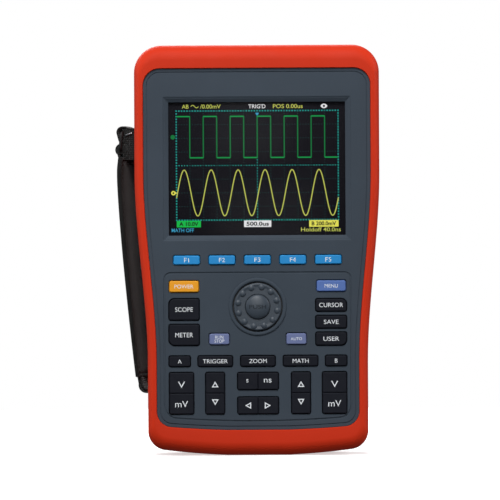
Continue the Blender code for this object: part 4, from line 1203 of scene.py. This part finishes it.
def make_terminals():
    low, high = node_box("terminal_block")
    wall = 1.8
    floor = low.z + 2.2
    middle_y = (low.y + high.y) / 2
    rings = []
    for z, grow, radius in (
        (low.z, 0.0, 1.0), (high.z - 0.4, 0.0, 1.0), (high.z, -0.4, 1.0), (high.z, -wall + 0.4, 2.0),
        (high.z - 0.4, -wall, 2.2), (floor + 0.8, -wall, 2.2), (floor + 0.2, -wall - 0.25, 2.2),
        (floor, -wall - 0.8, 2.2),
    ):
        outline = rounded(0, middle_y, high.x - low.x + 2 * grow, high.y - low.y + 2 * grow, radius)
        rings.append(level(outline, z))
    tray = finish_piece("terminal_tray", solid(rings), BLACK_PLASTIC, replaces=["terminal_block"])
    places = {name: (*node_middle(name)[:2], floor + 0.3) for name in COAX_INPUTS + JACKS}
    bore = [(0, 8), (4.4, 8), (4.4, -8), (0, -8)]
    cut(tray, [turned(bore, (x, y, floor), "Z", 32) for x, y, _ in places.values()])
    for name in COAX_INPUTS:
        make_coax_input(name, places[name])
    for name in JACKS:
        look = RED_PLASTIC if name == "jack_volts" else BLACK_PLASTIC
        finish_piece(f"{name}_shroud", turned(JACK_SHROUD, places[name], "Z", 48), look, replaces=[name])
        contact = turned(list(reversed(JACK_CONTACT)), places[name], "Z", 32)
        finish_piece(f"{name}_contact", contact, GOLD)

    ink = bmesh.new()
    for text, x in (("A", -44.0), ("mA", -19.0), ("COM", 0.0), ("V", 19.0), ("B", 44.0)):
        add_letters(ink, text, x, 0, 2.6, 0, bold=0.12, depth=0.03)
    finish_piece("bay_legends", moved(ink, (0, BAY_LEGEND_Y, HEIGHT), math.radians(-90), "X"), PRINT_WHITE)


def make_port_cover():
    low, high = node_box("port_cover")
    thick = (high.x - low.x) / 2
    hinge_z = high.z - thick
    centre_x, middle_y, _ = node_middle("port_cover")
    section = [(low.x, low.z + 0.5), (low.x + 0.5, low.z), (high.x - 0.5, low.z), (high.x, low.z + 0.5)]
    section += arc((centre_x, hinge_z), thick, 0, 180, 14)
    levels = [(low.y, 0.35), (low.y + 0.1, 0.1), (low.y + 0.35, 0.0)]
    levels += [(high.y - 0.35, 0.0), (high.y - 0.1, 0.1), (high.y, 0.35)]
    rings = []
    for y, grow in levels:
        ring = []
        for x, z in section:
            shrunk_z = z - grow if z > hinge_z else max(z, low.z + grow)
            ring.append((centre_x + (x - centre_x) * (1 - grow / thick), shrunk_z))
        rings.append(flat(ring, y))
    cover = finish_piece("port_flap", solid(rings), RUBBER, body="port_cover", replaces=["port_cover"])
    cutters = []
    groove = ((high.x - 0.45, high.x + 1), (middle_y - 5.0, middle_y + 5.0))
    for i in range(5):
        z = low.z + 3.0 + 1.9 * i
        cutters.append(block(*groove, (z, z + 0.8), 0.2))
    cut(cover, cutters)


def make_ports():
    make_port_cover()
    low, high = node_box("data_socket")
    _, middle_y, middle_z = node_middle("data_socket")
    rings = []
    for x, wide, tall in (
        (low.x, 13.6, 14.0), (high.x - 0.3, 13.6, 14.0), (high.x, 13.0, 13.4),
        (high.x, 9.4, 9.0), (high.x - 0.4, 8.4, 8.0), (64.0, 8.4, 8.0),
    ):
        rings.append(sideways(rounded(middle_y, middle_z, wide, tall, 0.5, 3), x))
    finish_piece("data_port", solid(rings), NICKEL, replaces=["data_socket"])
    tongue = ((63.0, high.x - 1), (middle_y - 1.6, middle_y + 1.6), (middle_z - 2.6, middle_z + 2.6))
    finish_piece("data_port_tongue", block(*tongue, 0.2), IVORY)

    low, high = node_box("power_socket")
    place = (high.x, middle_y, node_middle("power_socket")[2])
    rings = []
    for x, wide in ((low.x, 13.6), (high.x - 0.3, 13.6), (high.x, 13.0)):
        rings.append(sideways(rounded(*place[1:], wide, wide + 0.4, 0.8, 4), x))
    socket = finish_piece("power_port", solid(rings), BLACK_PLASTIC, replaces=["power_socket"])
    cut(socket, [turned([(0, -9), (3.2, -9), (3.2, -0.4), (3.8, 0.3), (3.8, 3), (0, 3)], place, "X", 32)])
    pin = turned([(0, -10), (1.0, -10), (1.0, -1.6), (0.7, -1.0), (0, -1.0)], place, "X", 20)
    finish_piece("power_port_pin", pin, NICKEL)


# ---------------------------------------------------------------------- strap
PAD_LOW, PAD_HIGH = node_box("strap_pad")
STRAP_TOP, STRAP_FOOT = PAD_HIGH.z, PAD_LOW.z
STRAP_EDGE = -92.4
RING_X = -87.6
RING_LOW_Z, RING_HIGH_Z, RING_TIP = 200.6, 211.8, 1.1
FOOT_ANCHOR_X = -78.0
RING_CORNER = 2.2
WEB_HALF = 9.0  # half the webbing's width
WEB_THICKNESS = 1.5
FOLD_LAYERS = (1.6, 3.2, 4.8, 6.4, 8.0)  # sewn layers of webbing, side by side
LAYER_THICKNESS = 1.7
CASE_GAP = 6.6  # local x at which a layer of full width would reach the case


def strap_edge(z):
    return STRAP_EDGE + 10.9 * (max(0.0, 182.0 - z) / 125.0) ** 1.3


def strap_section(z):
    share = smooth((z - STRAP_FOOT) / 50.0)
    shoulder = smooth((STRAP_TOP - z) / 9.0)
    return (13.0 + 2.2 * share) * (0.86 + 0.14 * shoulder), 3.0 + 0.8 * share


def strap_point(z, u, n):
    """A point on the strap: u runs from -1 at its front edge to 1, and n is its offset outwards."""
    half, thick = strap_section(z)
    widest = strap_section(min(z, STRAP_TOP - 9.0))[0]
    middle = strap_edge(z) + widest * math.sin(STRAP_LEAN) + thick / 2 * math.cos(STRAP_LEAN)
    middle += (widest - 0.6) * (math.sin(PAD_LEAN) - math.sin(STRAP_LEAN))
    across, away = math.sin(PAD_LEAN), math.cos(PAD_LEAN)
    along = u * half
    return Vector((middle + along * across - n * away, STRAP_Y + along * away + n * across, z))


def swell(piece, scale, voxel, pressure, cap):
    """Puffs a padded piece up with a short cloth simulation at an enlarged size, then caps the movement."""
    scene = bpy.context.scene
    piece.data.transform(Matrix.Scale(scale, 4))
    remesh = piece.modifiers.new("remesh", "REMESH")
    remesh.mode = "VOXEL"
    remesh.voxel_size = voxel
    bake(piece)
    start = [v.co.copy() for v in piece.data.vertices]
    cloth = piece.modifiers.new("cloth", "CLOTH")
    cloth.settings.use_pressure = True
    cloth.settings.uniform_pressure_force = pressure
    cloth.settings.effector_weights.gravity = 0
    cloth.settings.tension_stiffness = 25
    cloth.settings.compression_stiffness = 25
    cloth.settings.quality = 6
    cloth.point_cache.frame_start = 1
    cloth.point_cache.frame_end = 20
    for step in range(1, 21):
        scene.frame_set(step)
    bake(piece)
    for vert, before in zip(piece.data.vertices, start):
        move = vert.co - before
        if move.length > cap:
            vert.co = before + move.normalized() * cap
    piece.data.transform(Matrix.Scale(1 / scale, 4))
    scene.frame_set(1)


def make_strap_pad():
    rings = []
    count = 40
    for i in range(count + 1):
        z = STRAP_TOP - 0.4 - (STRAP_TOP - STRAP_FOOT - 0.8) * i / count
        thick = strap_section(z)[1]
        bulge = 0.72 if 0 < i < count else 0.35
        ring = []
        for j in range(28):
            angle = 2 * math.pi * j / 28
            u = soft_power(math.cos(angle), 0.55) * 0.98
            n = soft_power(math.sin(angle), 0.75) * thick / 2 * bulge
            ring.append(tuple(strap_point(z, u, n)))
        rings.append(ring)
    pad = finish_piece("hand_pad", solid(rings), PAD_CLOTH, replaces=["strap_pad"])
    swell(pad, scale=10.0, voxel=0.011, pressure=4.0, cap=0.005)
    smoother = pad.modifiers.new("smooth", "SUBSURF")
    smoother.levels = 1
    smoother.render_levels = 1
    bake(pad)
    pad.data.materials.clear()
    pad.data.materials.append(PAD_CLOTH)
    pad.data.shade_smooth()


def make_binding():
    """The pad's edge binding: a folded tape all round, sewn through."""
    steps = 60
    length = STRAP_TOP - STRAP_FOOT - 2.4
    loop = [(STRAP_TOP - 1.2 - length * i / steps, -1) for i in range(steps + 1)]
    loop += [(STRAP_FOOT + 1.2, -1 + 2 * i / 8) for i in range(1, 8)]
    loop += [(STRAP_FOOT + 1.2 + length * i / steps, 1) for i in range(steps + 1)]
    loop += [(STRAP_TOP - 1.2, 1 - 2 * i / 8) for i in range(1, 8)]
    centre = [strap_point(z, u * 0.985, 0.0) for z, u in loop]
    out = Vector((-math.cos(PAD_LEAN), math.sin(PAD_LEAN), 0))
    rings = []
    for i, spot in enumerate(centre):
        along = (centre[(i + 1) % len(centre)] - centre[i - 1]).normalized()
        side = along.cross(out).normalized()
        thick = strap_section(loop[i][0])[1] / 2
        ring = []
        for j in range(14):
            angle = 2 * math.pi * j / 14
            c, s = soft_power(math.cos(angle), 0.6), soft_power(math.sin(angle), 0.6)
            ring.append(tuple(spot + side * (1.15 * c) + out * (thick * 0.86 * s)))
        rings.append(ring)
    finish_piece("hand_pad_binding", solid(rings, closed=True), BINDING)


def make_pad_stitches():
    stitches = bmesh.new()
    for side in (-0.86, 0.86):
        for face in (-1, 1):
            z = STRAP_FOOT + 4.0
            while z < STRAP_TOP - 4.0:
                n = face * strap_section(z)[1] * 0.40
                add_stitch(stitches, strap_point(z, side, n), strap_point(z + 1.9, side, n), 0.22)
                z += 2.9
    finish_piece("hand_pad_stitches", stitches, THREAD)


def add_stitch(shape, start, end, radius):
    along = end - start
    turn = along.to_track_quat("Z", "Y").to_matrix().to_4x4()
    size = Matrix.Diagonal((radius, radius, along.length / 2, 1))
    place = Matrix.Translation((start + end) / 2) @ turn @ size
    bmesh.ops.create_uvsphere(shape, u_segments=8, v_segments=6, radius=1, matrix=place)


def add_web(shape, path, half, thickness):
    """A woven tape that follows (x, z) points and runs across Y, with rounded selvedges."""
    rings = []
    for i, (x, z) in enumerate(path):
        before, after = path[max(0, i - 1)], path[min(len(path) - 1, i + 1)]
        along = Vector((after[0] - before[0], 0, after[1] - before[1])).normalized()
        out = along.cross(Vector((0, 1, 0)))
        ring = []
        for j in range(16):
            angle = 2 * math.pi * j / 16
            wide = soft_power(math.cos(angle), 0.25) * half
            thick = soft_power(math.sin(angle), 0.6) * thickness / 2
            ring.append(tuple(Vector((x, wide, z)) + out * thick))
        rings.append(ring)
    return add_rings(shape, rings)


def add_layers(shape, low_z, high_z, half):
    """Sewn layers of webbing from low_z to high_z, each only as wide as the gap to the case allows."""
    for x in FOLD_LAYERS:
        back = min(half, (CASE_GAP - x) / math.tan(STRAP_LEAN))
        path = [(x, low_z), (x, (low_z + high_z) / 2), (x, high_z)]
        layer = add_web(bmesh.new(), path, (half + back) / 2, LAYER_THICKNESS)
        layer.transform(Matrix.Translation((0, (back - half) / 2, 0)))
        merge(shape, layer)


def make_fold():
    """The pad's top end, folded round the ring and sewn through several layers."""
    half = WEB_HALF
    path = [(1.2, STRAP_TOP - 1.0), (1.8, STRAP_TOP + 0.8)] + arc((0, RING_LOW_Z), 3.55, -52, 232, 26)
    path += [(-1.8, STRAP_TOP + 0.8), (-1.2, STRAP_TOP - 1.0)]
    shape = add_web(bmesh.new(), path, half, WEB_THICKNESS)
    core = [(0, half + 0.3), (1.9, half + 0.2), (2.8, half - 0.2), (3.1, half - 0.9)]
    core += [(3.1, 0.9 - half), (2.8, 0.2 - half), (0, -half)]
    add_turned(shape, core, (0, 0, RING_LOW_Z), "-Y", 28)
    add_layers(shape, STRAP_TOP - 1.6, RING_HIGH_Z - 3.4, half - 0.4)
    inner = [(1.2, -1.0), (4.4, 0.6), (5.6, 4.6), (5.2, 8.4), (3.6, 11.0)]
    add_web(shape, [(x, STRAP_TOP + z) for x, z in inner], half, 1.4)
    finish_piece("strap_fold_web", leaned(shape, RING_X), WEBBING, replaces=["strap_fold"])


def make_loop():
    """The webbing loop from the case round the ring and back."""
    ring, top = RING_HIGH_Z, RING_HIGH_Z + 3.2
    path = [(13.6, top - 0.8), (8.0, top - 0.8), (5.0, top - 0.5), (RING_TIP + 1.4, top + 0.5)]
    path += arc((RING_TIP - 0.5, ring + 0.4), 3.3, 80, 190, 10)
    path += [(-1.9, ring - 3.0), (-1.2, ring - 5.4), (0.6, ring - 6.6), (2.4, ring - 5.6)]
    path += [(3.4, ring - 2.6), (4.8, top - 2.9), (8.0, top - 2.6), (13.6, top - 2.6)]
    shape = add_web(bmesh.new(), path, WEB_HALF, WEB_THICKNESS)
    add_layers(shape, ring - 4.0, top - 0.8, WEB_HALF - 0.3)
    finish_piece("strap_loop_web", leaned(shape, RING_X), WEBBING, replaces=["strap_anchor_top"])


def make_ring():
    """The wire ring: four sides with rounded corners."""
    curve = bpy.data.curves.new("ring", "CURVE")
    curve.dimensions = "3D"
    curve.bevel_depth = 1.1
    curve.bevel_resolution = 6
    reach = WEB_HALF + 2.3
    low, high = (0, RING_LOW_Z), (RING_TIP, RING_HIGH_Z)
    corners = [(x, y, z) for (x, z), y in ((low, -reach), (low, reach), (high, reach), (high, -reach))]
    points = []
    for i, corner in enumerate(corners):
        here, before, after = Vector(corner), Vector(corners[i - 1]), Vector(corners[(i + 1) % 4])
        a = here + (before - here).normalized() * RING_CORNER
        b = here + (after - here).normalized() * RING_CORNER
        for j in range(7):
            t = j / 6
            points.append(a * (1 - t) ** 2 + here * 2 * t * (1 - t) + b * t * t)
    add_loop(curve, points)
    shape = leaned(curve_shape(curve, weld=False), RING_X)
    finish_piece("strap_ring_wire", shape, ENAMEL, replaces=["strap_ring"])


def make_clip():
    bar = block((-2.6, 2.6), (-0.5, 0.5), (-0.55, 0.55), 0.45, 3)
    moved(bar, (5.3, -WEB_HALF - 0.5, RING_HIGH_Z - 0.9), -math.atan2(1.5, 4.5), "Y")
    finish_piece("strap_loop_clip", leaned(bar, RING_X), STEEL)


def make_foot_webbing():
    tail = STRAP_FOOT + 1.2
    outer = [(0.6, tail), (1.0, STRAP_FOOT - 0.5), (1.6, 46.5)] + arc((6.2, 45.2), 4.6, 175, 270, 8)
    shape = add_web(bmesh.new(), outer + [(12.8, 40.6)], WEB_HALF, WEB_THICKNESS)
    inner = [(2.4, tail), (3.1, 47.0), (3.9, 44.4), (5.4, 42.6), (7.5, 42.2), (12.8, 42.2)]
    add_web(shape, inner, WEB_HALF, 1.3)
    finish_piece("strap_foot_web", leaned(shape, FOOT_ANCHOR_X), WEBBING, replaces=["strap_anchor_foot"])


def make_end_stitches():
    """Two rows of stitches across the pad's top end, on both faces."""
    stitches = bmesh.new()
    for row in (0.9, 2.7):
        z = STRAP_TOP - 1.5 - row
        half, thick = strap_section(z)
        for i in range(7):
            y = -7.6 + 2.3 * i
            for n in (-1, 1):
                away = n * thick * 0.5
                start, end = (strap_point(z, across / half, away) for across in (y, y + 1.5))
                add_stitch(stitches, start, end, 0.25)
    finish_piece("strap_end_stitches", stitches, THREAD)


# ------------------------------------------------------------------ inside
def make_inside():
    """The pieces that the case hides keep their CAD shapes and get their own materials."""
    looks = {
        "keypad_board": BOARD, "main_board": BOARD, "shield_can": STEEL, "rotary_encoder": STEEL,
        "beeper": BLACK_PLASTIC, "battery_pack": BLACK_PLASTIC, "stand_pin": STEEL,
    }
    for name, look in looks.items():
        mesh = frame["nodes"][name].data
        for i in range(len(mesh.materials)):
            mesh.materials[i] = look


# ------------------------------------------------------------- scene and light
FLOOR_GLOW = 0.55
WORLD_LIGHT = 0.14
# each lamp's name, place in metres, size in metres and power in watts
LAMPS = (
    ("high_lamp", (-0.25, -1.3, 1.65), 0.7, 30.0),
    ("front_lamp", (-0.05, -2.1, 0.8), 0.8, 12.0),
    ("back_lamp", (-0.4, 1.6, 1.3), 1.2, 34.0),
    ("right_lamp", (1.8, 0.0, 0.9), 1.0, 17.0),
    ("left_lamp", (-1.8, 0.1, 0.9), 1.0, 14.0),
)


def make_floor():
    """A pale round table that shows in no reflection."""
    made, tree, shader, where = shader_tree("floor_card")
    share = spread(tree, noise(tree, where, 3.0), 0.0, 1.0)
    tone = blend_colours(tree, share, (0.93, 0.93, 0.93), (0.96, 0.96, 0.96))
    feed(tree, shader, {"Base Color": tone, "Roughness": 0.95, "Specular IOR Level": 0.0})
    feed(tree, shader, {"Emission Color": (1, 1, 1, 1), "Emission Strength": FLOOR_GLOW})
    table = turned([(0, 0), (700, 0), (700, -4), (0, -4)], (0, 0, -0.2), "Z", 96)
    ground = link_object("floor", metre_mesh("floor", table))
    ground.data.materials.append(made)
    ground.visible_diffuse = False
    ground.visible_glossy = False


def make_light():
    """A white surround that only the camera sees, and soft lamps on all sides."""
    world = bpy.context.scene.world or bpy.data.worlds.new("studio")
    bpy.context.scene.world = world
    world.use_nodes = True
    tree = world.node_tree
    tree.nodes.clear()
    lights = add_node(tree, "Background", 0, {"Strength": WORLD_LIGHT, "Color": (0.93, 0.97, 1.0, 1)})
    seen = add_node(tree, "Background", 0, {"Strength": 1.0, "Color": (1, 1, 1, 1)})
    camera_ray = add_node(tree, "LightPath", "Is Camera Ray", {})
    mixed = add_node(tree, "MixShader", 0, {0: camera_ray, 1: lights, 2: seen})
    feed(tree, tree.nodes.new("ShaderNodeOutputWorld"), {0: mixed})
    for name, place, size, power in LAMPS:
        data = bpy.data.lights.new(name, "AREA")
        data.shape = "SQUARE"
        data.size = size
        data.energy = power
        lamp = link_object(name, data)
        lamp.location = place
        aim = Vector((0, 0, 0.15)) - Vector(place)
        lamp.rotation_euler = aim.to_track_quat("-Z", "Y").to_euler()


def make_camera():
    distance, frame_width = 2.4, 0.3258
    data = bpy.data.cameras.new("camera")
    data.sensor_width = 36.0
    data.lens = data.sensor_width * distance / frame_width
    data.clip_end = 40.0
    camera = link_object("camera", data)
    camera.location = (-0.0048, FRONT * MM - distance, 0.134)
    camera.rotation_euler = (math.radians(90), math.radians(0.31), 0)
    bpy.context.scene.camera = camera
    bpy.context.scene.view_settings.view_transform = "Standard"


make_camera()
make_floor()
make_light()
make_holster()
make_front_panel()
make_push_keys()
make_rockers()
make_dial()
make_push_cap()
make_screen()
make_grid()
make_traces()
make_readouts()
make_markers()
make_rear_case()
for screw_name in SCREWS:
    screw_head(screw_name)
screw_head("battery_door_screw")
make_battery_door()
make_stand()
make_terminals()
make_ports()
make_strap_pad()
make_binding()
make_pad_stitches()
make_fold()
make_loop()
make_ring()
make_clip()
make_foot_webbing()
make_end_stitches()
make_inside()
